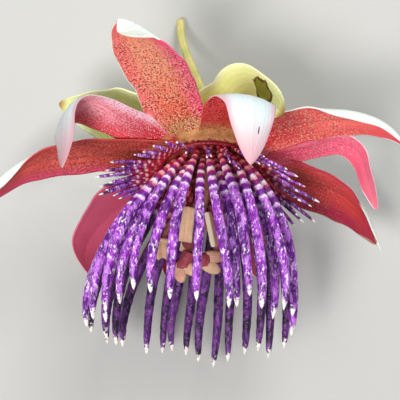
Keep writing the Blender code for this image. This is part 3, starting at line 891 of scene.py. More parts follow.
# %% [markdown]
# ## Sepals
# Five fleshy sepals, coral red inside and white outside. Where a margin rolls in or a tip folds over, the
# white outside shows as a stripe or a cap. Each has its own tones, and most end in a short soft point.

# %% Sepal or petal
# The red of the inner face runs over the very edge up to these shares of the length, on the two margins.
RED_EDGE_TO = {
    "sepal_top": (0.92, 0.1), "sepal_left": (0.68, 0.9), "sepal_lower_right": (0.8, 0.75),
    "sepal_right": (0.55, 0.0), "sepal_lower": (0.7, 0.7), "petal_left": (0.32, 0.5),
    "petal_lower_left": (0.9, 0.9), "petal_right": (0.6, 0.42), "petal_top_right": (0.28, 0.32),
    "petal_lower": (0.7, 0.7),
}


def make_blade(blade, outline, sheet, back, blemish=None):
    """A sepal or petal with a finish on each face and, if it has one, its soft point."""
    back = back._replace(edge=sheet.low_margin, edge_to=RED_EDGE_TO[blade.node])
    back = back_material(blade.node + "_outer", back, blemish)
    item, tip, heading = blade_piece(blade, outline, face_material(blade.node + "_inner", sheet), back)
    awn = HABITS[blade.node].awn
    if awn:
        item = add_awn(item, tip, heading, awn, back)
    hand_over(item, blade.node)


# %% Make the sepals
WHITE_RIM = tone(250, 244, 236)
# Tones of the base, the middle, the low and the high margin, the tip, the rim, and dark and pale freckles.
SEPAL_FACES = {
    "sepal_top": Face(
        tone(230, 94, 70), tone(252, 158, 124), tone(248, 92, 132), tone(250, 120, 116), tone(250, 84, 88),
        WHITE_RIM, tone(158, 34, 32), tone(255, 226, 190),
        dark_share=0.95, pale_share=0.70, freckled_to=0.98, veins=9.0, ochre_to=0.10, rim_from=(2.0, 0.15),
    ),
    "sepal_left": Face(
        tone(150, 42, 30), tone(222, 92, 84), tone(196, 66, 62), tone(222, 78, 108), tone(224, 70, 100),
        WHITE_RIM, tone(120, 22, 26), tone(248, 160, 130),
        dark_share=0.70, pale_share=0.45, freckled_to=0.80, veins=9.0, ochre_to=0.04, rim_from=(0.62, 2.0),
    ),
    "sepal_lower_right": Face(
        tone(200, 74, 62), tone(204, 66, 68), tone(172, 42, 74), tone(232, 76, 84), tone(188, 46, 74),
        tone(210, 150, 130), tone(120, 20, 34), tone(244, 160, 130),
        dark_share=0.40, pale_share=0.40, freckled_to=0.80, veins=9.0,
    ),
    "sepal_right": Face(
        tone(208, 48, 60), tone(248, 114, 108), tone(248, 98, 98), tone(248, 104, 104), tone(240, 86, 100),
        WHITE_RIM, tone(168, 30, 42), tone(255, 208, 172),
        dark_share=0.50, pale_share=0.70, freckled_to=0.90, veins=9.0,
    ),
    "sepal_lower": Face(
        tone(150, 36, 38), tone(186, 56, 62), tone(180, 44, 80), tone(180, 44, 80), tone(190, 52, 76),
        WHITE_RIM, tone(120, 24, 36), tone(236, 150, 120),
        dark_share=0.4, pale_share=0.3, freckled_to=0.6, veins=9.0,
    ),
}
SEPAL_BACK = Back(
    tone(178, 200, 120), tone(220, 228, 222), tone(230, 234, 230), tone(232, 232, 216), tone(186, 204, 180),
    veins=7.0, vein_share=0.22,
)
for blade in SEPALS:
    make_blade(blade, SEPAL_OUTLINE, SEPAL_FACES[blade.node], SEPAL_BACK)
print("sepals:", len(SEPALS))

# %% [markdown]
# ## Petals
# Five petals stand between the sepals. They are thinner and pinker, and three of them fold right over, so
# that their near-white outside faces up. The same function makes them from other numbers. The upper right
# one has a small dark slit in its outside.

# %% Make the petals
PALE_RIM = tone(250, 214, 222)
PETAL_FACES = {
    "petal_left": Face(
        tone(202, 38, 54), tone(255, 170, 184), tone(255, 210, 228), tone(236, 88, 102), tone(255, 196, 212),
        PALE_RIM, tone(196, 30, 64), tone(255, 214, 214),
        dark_share=0.60, pale_share=0.50, freckled_to=0.80, veins=14.0,
    ),
    "petal_lower_left": Face(
        tone(204, 62, 88), tone(206, 86, 118), tone(214, 92, 124), tone(208, 82, 116), tone(220, 100, 128),
        tone(226, 140, 160), tone(160, 50, 84), tone(226, 124, 152),
        dark_share=0.18, pale_share=0.25, freckled_to=0.50, veins=20.0,
    ),
    "petal_right": Face(
        tone(230, 66, 92), tone(248, 114, 142), tone(244, 100, 128), tone(248, 124, 150), tone(248, 134, 156),
        PALE_RIM, tone(196, 36, 80), tone(255, 186, 204),
        dark_share=0.45, pale_share=0.60, freckled_to=0.8, veins=8.0,
    ),
    "petal_top_right": Face(
        tone(208, 60, 54), tone(210, 54, 54), tone(216, 62, 64), tone(220, 70, 70), tone(226, 100, 108),
        PALE_RIM, tone(140, 12, 28), tone(244, 118, 104),
        dark_share=0.9, pale_share=0.85, freckled_to=0.9, veins=10.0, ochre_to=0.09,
    ),
    "petal_lower": Face(
        tone(170, 44, 56), tone(196, 72, 100), tone(196, 66, 96), tone(196, 66, 96), tone(210, 100, 120),
        PALE_RIM, tone(150, 34, 66), tone(240, 160, 180),
        dark_share=0.2, pale_share=0.3, freckled_to=0.6, veins=14.0,
    ),
}
PETAL_BACK = Back(
    tone(216, 150, 158), tone(210, 224, 226), tone(214, 172, 182), tone(208, 152, 162), tone(206, 196, 206),
    veins=12.0, vein_share=0.20, tip_from=0.60,
)
SLIT = Blemish(place=(0.34, 0.768), reach=(0.016, 0.026), inside=tone(70, 20, 36), ring=tone(150, 90, 106))
for blade in PETALS:
    slit = SLIT if blade.node == "petal_top_right" else None
    make_blade(blade, PETAL_OUTLINE, PETAL_FACES[blade.node], PETAL_BACK, slit)
print("petals:", len(PETALS))

# %% [markdown]
# ## Finish of the filaments
# A filament is banded at its foot, crimson with pale rings, and violet further out, with lilac mottles and
# white flecks and a white tip. The bands follow the length of the thread, which its UV map stores, and
# noise shifts them so that their edges are ragged and each filament differs. The mottles are noise of two
# sizes, drawn out the way the bell hangs. The threads on the far side, under the bell, get a darker copy of
# the finish with fewer flecks, which is painted shade, so the function takes its tones.

# %% Banded finish
CRIMSON = tone(140, 10, 42)
RED = tone(188, 30, 58)
SALMON = tone(232, 114, 122)
ROSE = tone(240, 190, 196)
MAGENTA = tone(152, 20, 104)
PLUM = tone(104, 20, 130)
GRAPE = tone(110, 24, 150)
SNOW = tone(246, 236, 252)
TIP = tone(252, 246, 240)
Tones = namedtuple("Tones", "deep violet lilac fleck mottle_share fleck_share")


def banded_material(name, stops, wobble, tones, mottled_from, tip_from):
    """Bands from the foot, then a mottled part, then a pale tip."""
    thread_skin = Finish(name, 1800.0)
    along, scattered = thread_skin.along, thread_skin.noise
    slow, quick = scattered(130.0, 1.0) - 0.5, scattered(1300.0) - 0.5
    shift = quick * wobble[1] + slow * wobble[0]
    place = shift * (along.between(0.05, 0.30) * 0.75 + 0.25) + along
    drawn = thread_skin.moved(Scale=(1.0, 0.4, 0.8))
    mottles = noise(drawn, 860.0, 3.0, 0.65).between(0.47, 0.58)
    flecks = noise(drawn, 2000.0, 3.0, 0.6).between(0.54, 0.60) * scattered(420.0).between(0.42, 0.58)
    mottled = coats(
        tones.deep,
        (scattered(210.0).between(0.44, 0.58), tones.violet),
        (mottles * tones.mottle_share, tones.lilac),
        (flecks * tones.fleck_share, tones.fleck),
        (thread_skin.dots(1700.0, 0.33) * 0.55, tones.deep),
    )
    colour = coats(
        colour_ramp(place, stops),
        (place.between(mottled_from, mottled_from + 0.04), mottled),
        ((quick * 0.14 + along).between(tip_from, tip_from + 0.03), TIP),
    )
    roughness = thread_skin.patches * 0.3 + 0.28
    return thread_skin.done(colour, roughness, thread_skin.grain, 0.2 * MM, 0.9, 0.45)


# %% Bands and tones of the filaments
LONG_BANDS = (
    (0.0, CRIMSON), (0.034, RED), (0.043, SALMON), (0.063, SALMON), (0.072, CRIMSON), (0.094, RED),
    (0.101, ROSE), (0.121, SALMON), (0.128, CRIMSON), (0.155, MAGENTA), (0.162, ROSE), (0.180, SALMON),
    (0.189, MAGENTA), (0.218, tone(110, 20, 110)), (0.225, SNOW), (0.246, ROSE), (0.255, MAGENTA),
    (0.284, PLUM), (0.291, SNOW), (0.310, tone(206, 140, 220)), (0.320, PLUM), (0.350, GRAPE),
    (0.357, SNOW), (0.372, tone(196, 130, 226)), (0.384, GRAPE), (0.420, tone(126, 32, 176)),
)
SHORT_BANDS = (
    (0.0, CRIMSON), (0.10, RED), (0.13, SALMON), (0.17, CRIMSON), (0.26, RED), (0.29, ROSE),
    (0.33, CRIMSON), (0.42, MAGENTA), (0.45, ROSE), (0.49, MAGENTA), (0.56, tone(86, 16, 100)),
)
near_tones = Tones(tone(84, 6, 116), tone(138, 30, 172), tone(196, 118, 226), SNOW, 0.82, 0.85)
# The far tones are a darker copy of the near ones: painted shade for the threads under the bell.
far_shaded_tones = Tones(tone(34, 4, 50), tone(80, 16, 104), tone(132, 60, 156), tone(196, 160, 214), 0.7, 0.16)
short_tones = Tones(tone(70, 6, 84), tone(124, 28, 150), tone(178, 100, 204), SNOW, 0.6, 0.7)
near_bands = banded_material("long_filament_near", LONG_BANDS, (0.03, 0.04), near_tones, 0.36, 0.94)
far_painted_shade_bands = banded_material("long_filament_far_painted_shade", LONG_BANDS, (0.03, 0.04), far_shaded_tones, 0.22, 0.945)
short_bands = banded_material("short_filament_bands", SHORT_BANDS, (0.12, 0.06), short_tones, 0.52, 0.93)
print("filament finishes:", [bands.name for bands in (near_bands, far_painted_shade_bands, short_bands)])

# %% [markdown]
# ## Long filaments
# The corona's long filaments are what the flower is known for. They stand in two rows on the rim, lean out,
# and then hang over towards the mouth of the bell. No two have the same bend, so each has its row, the
# azimuths of its foot and tip and its reach in a table. Each is the straight thread, bent along its own path,
# with a slight wave at its free end and a skin of small bumps.

# %% Numbers of the long filaments
Filament = namedtuple("Filament", "row foot tip reach")
LONG_FILAMENTS = (
    Filament(0, 38, 6, -2.5), Filament(1, 46, 15, -1.0), Filament(0, 51, 27, -1.5),
    Filament(1, 66, 36, -2.0), Filament(0, 62, 49, 0.4), Filament(0, 77, 57, -1.9),
    Filament(1, 81, 58, -0.4), Filament(0, 91, 70, 1.6), Filament(1, 99, 85, -1.1),
    Filament(0, 106, 101, -0.2), Filament(1, 117, 117, -3.5), Filament(0, 124, 122, -3.4),
    Filament(0, 143, 143, 0.0), Filament(1, 136, 144, -2.7), Filament(0, 157, 158, 0.3),
    Filament(1, 163, 168, -0.5), Filament(0, 173, 176, 0.0), Filament(1, 181, 188, 1.4),
    Filament(0, 190, 195, -1.1), Filament(1, 202, 208, 1.3), Filament(0, 212, 213, 0.0),
    Filament(0, 227, 228, -0.8), Filament(1, 233, 238, 1.5), Filament(0, 245, 254, -0.5),
    Filament(1, 252, 257, 0.0), Filament(0, 263, 268, -0.2), Filament(1, 274, 275, 2.8),
    Filament(0, 281, 284, 3.1), Filament(1, 293, 296, 3.3), Filament(0, 301, 303, 0.8),
    Filament(0, 316, 321, 3.1), Filament(1, 324, 324, 2.3), Filament(0, 334, 338, 2.4),
    Filament(0, 351, 351, 0.6),
)
LONG_STEPS = 16
BELL_CENTRE = Vector((-4.6, -40.0, 4.0)) * MM
BELL_TILT = math.radians(20.0)
BELL_UP = Vector((0.0, math.sin(BELL_TILT), math.cos(BELL_TILT)))
FOOT_RADII = (9.6 * MM, 7.4 * MM)
BELL_RADII = (25.4 * MM, 21.0 * MM)
LONG_RADII = (
    (0.0, 0.64), (0.1, 0.74), (0.2, 0.92), (0.35, 1.14), (0.6, 1.24), (0.75, 1.16), (0.86, 1.0),
    (0.92, 0.86), (0.96, 0.64), (0.985, 0.40), (1.0, 0.10),
)
print("long filaments in the table:", len(LONG_FILAMENTS))

# %% Path of a long filament


def long_path(filament, chance):
    """Points of one long filament's midline, with a slight wave at its free end."""
    foot_angle, tip_angle = math.radians(filament.foot), math.radians(filament.tip)
    foot = FOOT_RADII[filament.row] * radial(foot_angle) + 1.0 * MM * AXIS
    on_bell = math.cos(tip_angle) * RIGHT + math.sin(tip_angle) * BELL_UP
    tip = BELL_CENTRE + BELL_RADII[filament.row] * on_bell
    tip += filament.reach * MM * FORWARD
    rising = (0.8 * radial(foot_angle) + AXIS).normalized()
    hanging = (FORWARD - 0.12 * radial(tip_angle)).normalized()
    away = radial(tip_angle)
    aside = away.cross(FORWARD).normalized()
    size, phase, turns = (chance.uniform(*span) for span in ((0.2, 0.6), (0.0, 6.28), (6.0, 11.0)))
    path = path_between(foot, rising, tip, hanging, (0.42, 0.38), LONG_STEPS)
    for step, place in enumerate(path):
        share = step / LONG_STEPS
        swing = size * MM * math.sin(phase + turns * share) * share**1.5
        path[step] = place + swing * aside + 0.5 * swing * away
    return path


# %% Make the long filaments
bumps = bpy.data.textures.new("filament_bumps", "CLOUDS")
bumps.noise_scale = 0.9 * MM
bumps.noise_depth = 1


def roughen(item, depth):
    """Small unevenness, as every plant has it."""
    rough = item.modifiers.new("unevenness", "DISPLACE")
    rough.texture = bumps
    rough.texture_coords = "LOCAL"
    rough.strength = depth
    rough.mid_level = 0.5
    apply_modifiers(item)


# Long filaments whose tips hang in this azimuth range, on the far side under the bell, take the darker
# finish: painted shade.
PAINTED_SHADE_SIDE = (185, 345)
chance = random.Random(23)
for number, filament in enumerate(LONG_FILAMENTS, 1):
    node = f"long_filament_{number:02d}"
    stout = chance.uniform(0.94, 1.06)
    piece = bent_thread(thread, node + "_fine", long_path(filament, chance), LONG_RADII, stout)
    roughen(piece, 0.26 * MM)
    piece.data.materials.append(far_painted_shade_bands if PAINTED_SHADE_SIDE[0] < filament.tip < PAINTED_SHADE_SIDE[1] else near_bands)
    hand_over(piece, node)
print("long filaments:", len(LONG_FILAMENTS))

# %% [markdown]
# ## Outer corona
# Outside the long filaments stands a ring of short thin ones. They lie almost flat at the sides, where they
# stick out from under the bell. Above the bell there are few, and they stand up and lean every way. Each of
# these has its own foot and tip. Below the bell they are all alike, and their heading, length and bend come
# from a random generator with a fixed seed. A ring carries them all, so they are one piece.

# %% Numbers of the short filaments
SHORT_RADII = ((0.0, 0.44), (0.3, 0.50), (0.6, 0.50), (0.85, 0.40), (0.96, 0.28), (1.0, 0.08))
LOWER_SIDE = (207, 328, 6)
# Those that are placed one by one: azimuth and radius of the foot, and the tip from there, in millimetres.
PLACED_SHORTS = (
    (126, 11.6, (-3.8, 1.6, 4.2)), (117, 11.2, (-3.0, 1.2, 4.6)), (107, 10.8, (-2.6, -1.8, 7.0)),
    (96, 10.7, (1.6, -2.8, 7.6)), (87, 10.8, (-1.2, -3.2, 7.2)), (80, 10.6, (5.4, -5.6, 8.2)),
    (72, 11.0, (1.6, -4.2, 7.8)), (62, 11.2, (4.6, -3.2, 7.6)), (54, 11.4, (5.6, -3.8, 6.4)),
    (134, 11.8, (-5.6, 1.2, 3.0)), (142, 11.8, (-7.0, 0.4, 3.4)), (150, 11.8, (-8.3, 0.5, 3.0)),
    (158, 11.8, (-13.4, -0.5, 3.6)), (162, 11.6, (-10.5, -1.2, 4.4)), (166, 11.9, (-14.1, -1.7, 3.2)),
    (172, 11.8, (-12.9, -2.0, 3.8)), (176, 12.0, (-16.3, -2.2, 3.4)), (180, 11.7, (-13.2, -3.2, 4.2)),
    (184, 11.9, (-15.4, -3.7, 3.4)), (187, 11.8, (-14.0, -4.2, 4.4)), (190, 12.0, (-15.7, -5.0, 3.2)),
    (196, 11.8, (-12.6, -4.6, 3.6)), (200, 11.9, (-11.4, -4.9, 2.8)), (46, 11.5, (5.6, -1.4, 2.6)),
    (40, 11.7, (6.0, -3.2, 2.2)), (34, 11.8, (6.8, -2.3, 3.0)), (26, 11.8, (8.6, -2.7, 3.2)),
    (22, 11.6, (9.2, -4.8, 3.6)), (18, 11.9, (10.6, -3.7, 3.0)), (10, 11.8, (10.4, -6.5, 3.4)),
    (5, 11.9, (12.0, -4.7, 2.8)), (0, 11.8, (15.6, -8.0, 3.2)), (-2, 11.6, (11.2, -7.6, 4.0)),
    (-5, 11.9, (13.6, -8.5, 3.0)), (-10, 11.8, (10.6, -10.4, 3.2)), (-14, 11.9, (15.0, -11.4, 3.0)),
    (-18, 11.7, (12.6, -11.2, 3.8)), (-24, 11.8, (10.8, -11.4, 3.2)),
)
print("placed one by one:", len(PLACED_SHORTS))

# %% Paths of the short filaments


def short_path(angle, foot_radius, chance):
    """Points of one short filament on the lower side: it lies low and bends up a little."""
    length = MM * chance.uniform(10.0, 13.5)
    lift = math.radians(26.0 + 10.0 * max(math.sin(angle), 0.0) + chance.uniform(-9.0, 9.0))
    azimuth = angle + math.radians(chance.uniform(-6.0, 6.0))
    turn = math.radians(chance.uniform(-5.0, 5.0))
    place = CENTRE + foot_radius * radial(angle) + 0.7 * MM * AXIS
    path = [place]
    for step in range(1, 6):
        bend = lift * (0.55 + 0.6 * step / 5.0)
        azimuth += turn
        place = place + length / 5.0 * (math.cos(bend) * radial(azimuth) + math.sin(bend) * AXIS)
        path.append(place)
    return path


def placed_short_path(angle, foot_radius, offset):
    """Points of one placed short filament: it rises and then leans over."""
    foot = CENTRE + foot_radius * radial(angle) + 0.7 * MM * AXIS
    tip = foot + MM * Vector(offset)
    rising = foot + 2.2 * MM * (radial(angle) + 0.6 * AXIS).normalized()
    leaning = tip - 0.35 * MM * Vector(offset) + 0.6 * MM * radial(angle)
    return [bezier((foot, rising, leaning, tip), step / 6) for step in range(7)]


# %% Make the outer corona
torus = {"major_segments": 100, "minor_segments": 10, "major_radius": 12.0 * MM, "minor_radius": 0.5 * MM}
ring = fresh(bpy.ops.mesh.primitive_torus_add, "ring", **torus)
stand(ring, CENTRE + 0.75 * MM * AXIS, (RIGHT, UPPER, AXIS))
set_uv(ring.data, np.zeros(len(ring.data.vertices)), np.zeros(len(ring.data.vertices)))
chance = random.Random(5)
paths = [placed_short_path(math.radians(angle), radius * MM, tip) for angle, radius, tip in PLACED_SHORTS]
for angle in range(*LOWER_SIDE):
    angle = math.radians(angle + chance.uniform(-1.8, 1.8))
    paths.append(short_path(angle, chance.uniform(11.5, 12.3) * MM, chance))
shorts = []
for path in paths:
    name = f"short_{len(shorts) + 1}"
    shorts.append(bent_thread(short_thread, name, path, SHORT_RADII, chance.uniform(0.9, 1.1)))
corona = join([ring, *shorts], "outer_corona_fine")
corona.data.materials.clear()
corona.data.materials.append(short_bands)
hand_over(corona, "outer_corona")
print("short filaments:", len(shorts))

# %% [markdown]
# ## Cup
# The cup is the flower's base, which carries everything else. It is turned round the axis, so its section
# is extruded point by point and then spun. Only its upper side is ochre, between sepal and corona. Further
# round it has the red freckles of the blades that grow from it, and its bowl is dark crimson, with small
# pits along the rim. The UV map stores the azimuth across and the way along the section, so the finish can
# tell these places apart.

# %% Cup finish
CUP_TONES = (
    (0.0, tone(84, 8, 22)), (0.26, tone(104, 12, 30)), (0.30, tone(134, 22, 40)), (0.39, tone(140, 40, 44)),
    (0.432, tone(160, 84, 60)), (0.442, OCHRE), (0.50, tone(196, 152, 100)), (0.56, tone(204, 144, 102)),
    (0.66, tone(176, 96, 74)), (1.0, tone(186, 190, 110)),
)


def cup_material():
    cup = Finish("cup_skin", 2200.0)
    across, along = cup.across, cup.along
    uneven = cup.noise(420.0, 3.0) - 0.5
    way_round = uneven * 0.06 + across
    sides = way_round.between(0.340, 0.372).calc("MAXIMUM", way_round.between(0.165, 0.140))
    red = sides * along.between(0.37, 0.40)
    freckles = cup.dots(1900.0, 0.40) * (red * 0.65 + 0.30) * along.between(0.40, 0.44)
    pits = cup.dots(900.0, 0.46) * along.between(0.385, 0.405) * along.between(0.452, 0.436) * 0.9
    colour = coats(
        colour_ramp(uneven * 0.035 + along, CUP_TONES),
        (cup.noise(500.0, 3.0, 0.6).between(0.45, 0.62) * 0.55, tone(158, 108, 64)),
        (red, coats(tone(110, 14, 34), (along.between(0.36, 0.44), tone(186, 72, 66)))),
        (freckles, tone(116, 24, 30)),
        (cup.other_dots(2300.0, 0.34) * red * 0.7, tone(246, 176, 150)),
        (pits, tone(120, 10, 26)),
    )
    return cup.done(colour, cup.patches * 0.3 + 0.40, pits * -2.0 + cup.grain, 0.15 * MM, 0.8, 0.3)


# %% Cup shape


def spun_cup():
    """A section extruded point by point, then spun round the axis."""
    foot = CENTRE + CUP_SECTION[0][1] * MM * AXIS
    item = fresh(bpy.ops.mesh.primitive_plane_add, "floral_cup_fine", size=0.001, location=foot)
    settle(item)
    bpy.ops.object.mode_set(mode="EDIT")
    bpy.ops.mesh.select_all(action="SELECT")
    bpy.ops.mesh.merge(type="CENTER")
    for (r0, h0), (r1, h1) in zip(CUP_SECTION, CUP_SECTION[1:]):
        step = (r1 - r0) * MM * RIGHT + (h1 - h0) * MM * AXIS
        bpy.ops.mesh.extrude_region_move(TRANSFORM_OT_translate={"value": step})
    bpy.ops.mesh.select_all(action="SELECT")
    bpy.ops.mesh.subdivide(number_cuts=5)
    bpy.ops.mesh.select_all(action="SELECT")
    bpy.ops.mesh.spin(steps=160, angle=2.0 * math.pi, center=CENTRE, axis=AXIS)
    bpy.ops.mesh.select_all(action="SELECT")
    bpy.ops.mesh.remove_doubles(threshold=0.01 * MM)
    bpy.ops.mesh.select_all(action="SELECT")
    bpy.ops.mesh.normals_make_consistent(inside=False)
    bpy.ops.object.mode_set(mode="OBJECT")
    return item


def along_section(r, h, lengths):
    """Share of the section's length at the point nearest to this one."""
    best, share, done = math.inf, 0.0, 0.0
    for (r0, h0), (r1, h1), length in zip(CUP_SECTION, CUP_SECTION[1:], lengths):
        t = max(0.0, min(1.0, ((r - r0) * (r1 - r0) + (h - h0) * (h1 - h0)) / length**2))
        gap = math.dist((r, h), (r0 + t * (r1 - r0), h0 + t * (h1 - h0)))
        if gap < best:
            best, share = gap, (done + t * length) / sum(lengths)
        done += length
    return share


# %% Make the cup
cup = spun_cup()
offset = points_of(cup.data) - np.array(CENTRE)
height = offset @ np.array(AXIS) / MM
sideways, upward = offset @ np.array(RIGHT), offset @ np.array(UPPER)
distance = np.hypot(sideways, upward) / MM
azimuth = np.arctan2(upward, sideways) % (2.0 * math.pi)
lengths = [math.dist(p, q) for p, q in zip(CUP_SECTION, CUP_SECTION[1:])]
along = np.array([along_section(r, h, lengths) for r, h in zip(distance, height)])
set_uv(cup.data, azimuth / (2.0 * math.pi), along)
roughen(cup, 0.35 * MM)
only(cup)
bpy.ops.object.shade_smooth()
cup.data.materials.append(cup_material())
hand_over(cup, "floral_cup")
print("cup faces:", len(cup.data.polygons))

# %% [markdown]
# ## Finish of the plain pieces
# Stalk, column, ovary, stamens and styles have no pattern of their own, only a mottled living skin with
# faint ridges along it. One function with a few tones serves all of them.

# %% Mottled skin


def plain_skin(name, main, second, vein, grain, depth, roughness=0.4, pale_edge=None):
    """A mottled living surface with ridges along it and bumps of this depth."""
    skin = Finish(name, grain)
    veins = skin.veins(8.0, 0.6)
    layers = [(skin.patches.between(0.38, 0.68), second), (veins * 0.25, vein)]
    if pale_edge:
        layers.append((abs(skin.across - 0.5).between(0.34, 0.44), pale_edge))
    rough = skin.patches * 0.25 + (roughness - 0.1)
    return skin.done(coats(main, *layers), rough, veins * 0.6 + skin.grain, depth, 0.8, 0.35)


# %% [markdown]
# ## Stalk
# The peduncle leaves the cup's narrow end and runs down to the ground. It is round and yellow-green, so it
# is one bent thread.

# %% Make the stalk
stalk_skin = plain_skin(
    "stalk_skin", tone(222, 208, 134), tone(196, 196, 116), tone(170, 170, 96), 2200.0, 0.12 * MM
)
STALK_RADII = ((0.0, 1.3), (0.06, 1.12), (0.99, 1.12), (1.0, 1.0))
foot = -13.3 * MM * AXIS
end = Vector((-7.4 * MM, 39.5 * MM, 0.9 * MM - CENTRE.z))
arrival = (end - foot + 0.25 * (end - foot).length * RIGHT).normalized()
path = path_between(foot, -AXIS, end, arrival, (0.35, 0.35), 10)
stalk = bent_thread(thread, "peduncle_fine", path, STALK_RADII)
roughen(stalk, 0.12 * MM)
points = points_of(stalk.data)
points[:, 2] = np.maximum(points[:, 2], 0.02 * MM)
place_points(stalk.data, points)
stalk.data.materials.append(stalk_skin)
hand_over(stalk, "peduncle")
print("stalk, mm:", round((end - foot).length / MM, 1))

# %% [markdown]
# ## Column and ovary
# A column rises from the middle of the bowl and carries stamens and ovary out to where a visitor's back
# brushes them. It is a bent thread that widens at its end. The ovary on it is a sphere, drawn out along
# the column and pressed in along three furrows, one for each of its parts.

# %% Make the column
COLUMN_FOOT = -4.7 * MM * AXIS
COLUMN_TIP = Vector((-3.0, -13.5, 3.0)) * MM
COLUMN_RADIUS = 1.3 * MM
COLUMN_HEADING = (COLUMN_TIP - 0.45 * COLUMN_TIP.length * AXIS).normalized()
COLUMN_RADII = ((0.0, 1.3), (0.75, 1.2), (0.92, 1.4), (1.0, 1.6))
column_skin = plain_skin(
    "column_skin", tone(176, 120, 96), tone(140, 60, 66), tone(120, 30, 52), 2600.0, 0.1 * MM
)
path = path_between(COLUMN_FOOT, AXIS, COLUMN_TIP, COLUMN_HEADING, steps=10)
column = bent_thread(thread, "column_fine", path, COLUMN_RADII)
column.data.materials.append(column_skin)
hand_over(column, "column")
print("column, mm:", round((path[-1] - path[0]).length / MM, 1))

# %% Make the ovary
OVARY_LENGTH = 7.0 * MM
OVARY_RADIUS = 2.55 * MM
across_end = (RIGHT - RIGHT.dot(COLUMN_HEADING) * COLUMN_HEADING).normalized()
upper_end = COLUMN_HEADING.cross(across_end)
sphere = {"segments": 36, "ring_count": 24, "radius": 1.0}
ovary = fresh(bpy.ops.mesh.primitive_uv_sphere_add, "ovary_fine", **sphere)
points = points_of(ovary.data)
angle = np.arctan2(points[:, 1], points[:, 0])
girth = OVARY_RADIUS * (1.0 - 0.08 * np.cos(1.5 * angle) ** 2) * (1.0 - 0.12 * points[:, 2])
points *= np.column_stack((girth, girth, np.full(len(girth), 0.5 * OVARY_LENGTH)))
place_points(ovary.data, points)
middle = CENTRE + COLUMN_TIP + (0.5 * OVARY_LENGTH + 0.3 * MM) * COLUMN_HEADING
stand(ovary, middle, (across_end, upper_end, COLUMN_HEADING))
ovary_skin = plain_skin(
    "ovary_skin", tone(140, 72, 70), tone(118, 46, 56), tone(160, 96, 84), 2400.0, 0.12 * MM
)
ovary.data.materials.append(ovary_skin)
hand_over(ovary, "ovary")
print("ovary, mm:", round(OVARY_LENGTH / MM, 1))

# %% [markdown]
# ## Stamens
# Five stamens leave the column just under the ovary. Each is a flat strap that carries a large anther,
# swung round on its middle. The anther is a cube with a furrow pressed in between its two pollen sacs,
# rounded by subdivision. It is made once, and each stamen gets a copy, turned its own way.

# %% The anther
ANTHER = (3.7 * MM, 1.7 * MM, 9.0 * MM)
CUTS = (
    ((1, 0, 0), ANTHER[0], (-0.36, -0.22, 0.0, 0.22, 0.36)),
    ((0, 0, 1), ANTHER[2], (-0.40, -0.25, 0.0, 0.25, 0.40)),
)


def anther_master():
    """A slab with two pollen sacs and a furrow between them."""
    width, thickness, length = ANTHER
    item = fresh(bpy.ops.mesh.primitive_cube_add, "anther_master", size=1.0)
    bpy.ops.object.mode_set(mode="EDIT")
    bpy.ops.transform.resize(value=(0.92 * width, 0.72 * thickness, 0.98 * length), center_override=(0, 0, 0))
    for normal, size, places in CUTS:
        for place in places:
            bpy.ops.mesh.select_all(action="SELECT")
            bpy.ops.mesh.bisect(plane_co=Vector(normal) * place * size, plane_no=normal)
    bpy.ops.object.mode_set(mode="OBJECT")
    points = points_of(item.data)
    middle = np.abs(points[:, 0]) < 0.05 * width
    sac = np.abs(np.abs(points[:, 0]) - 0.20 * width) < 0.05 * width
    front = points[:, 1] > 0.0
    points[middle & front, 1] -= 0.45 * thickness
    points[sac & front, 1] += 0.18 * thickness
    points[middle & ~front, 1] -= 0.10 * thickness
    place_points(item.data, points)
    soft = item.modifiers.new("soft", "SUBSURF")
    soft.levels = 2
    soft.render_levels = 2
    apply_modifiers(item)
    points = points_of(item.data)
    set_uv(item.data, points[:, 0] / width + 0.5, points[:, 2] / length + 0.5)
    return item


# %% Make the stamens
Stamen = namedtuple("Stamen", "node anther along facing")
STAMENS = (
    Stamen("stamen_upper", (-5.4, -14.0, 7.4), (-0.12, -1.0, -0.05), (-0.2, 0.0, 1.0)),
    Stamen("stamen_left", (-11.6, -20.2, 1.6), (0.0, -0.5, -0.8), (0.0, -0.6, 0.75)),
    Stamen("stamen_lower_left", (-5.0, -16.8, -3.0), (-0.2, -1.0, 0.0), (-0.2, 0.0, -1.0)),
    Stamen("stamen_lower_right", (5.2, -23.8, -2.6), (0.08, -1.0, 0.0), (1.0, 0.0, -0.1)),
    Stamen("stamen_right", (0.5, -15.2, 6.9), (0.2, -1.0, 0.0), (1.0, 0.2, 0.25)),
)
STRAP_RADII = ((0.0, 0.85), (0.6, 0.8), (1.0, 0.5))
anther_skin = plain_skin(
    "anther_skin", tone(240, 198, 160), tone(226, 172, 146), tone(246, 208, 160), 2600.0, 0.12 * MM, 0.5,
    tone(252, 232, 204),
)
strap_skin = plain_skin(
    "stamen_thread_skin", tone(190, 120, 100), tone(150, 76, 84), tone(120, 40, 60), 2600.0, 0.1 * MM
)


def away_from_column(place):
    offset = place - COLUMN_TIP
    return (offset - offset.dot(COLUMN_HEADING) * COLUMN_HEADING).normalized()


master = anther_master()
for stamen in STAMENS:
    centre = Vector(stamen.anther) * MM
    along = Vector(stamen.along).normalized()
    facing = Vector(stamen.facing)
    facing = (facing - facing.dot(along) * along).normalized()
    away = away_from_column(centre)
    foot = COLUMN_TIP - 1.4 * MM * COLUMN_HEADING + (1.2 * COLUMN_RADIUS + 0.2 * MM) * away
    path = path_between(foot, away, centre, facing)
    strap = bent_thread(thread, stamen.node + "_strap", path, STRAP_RADII, flatness=0.7)
    strap.data.materials.append(strap_skin)
    anther = copy_of(master, stamen.node + "_anther")
    anther.data.materials.append(anther_skin)
    stand(anther, CENTRE + centre, (facing.cross(along), facing, along))
    piece = join([strap, anther], stamen.node + "_fine")
    roughen(piece, 0.15 * MM)
    hand_over(piece, stamen.node)
remove(master)
print("stamens:", len(STAMENS))

# %% [markdown]
# ## Styles and stigmas
# Three styles grow from the ovary's end. Each bends outward, thickens and ends in a stigma with two lobes.
# The style is a bent thread, and the lobes are two flattened spheres that sink into each other.

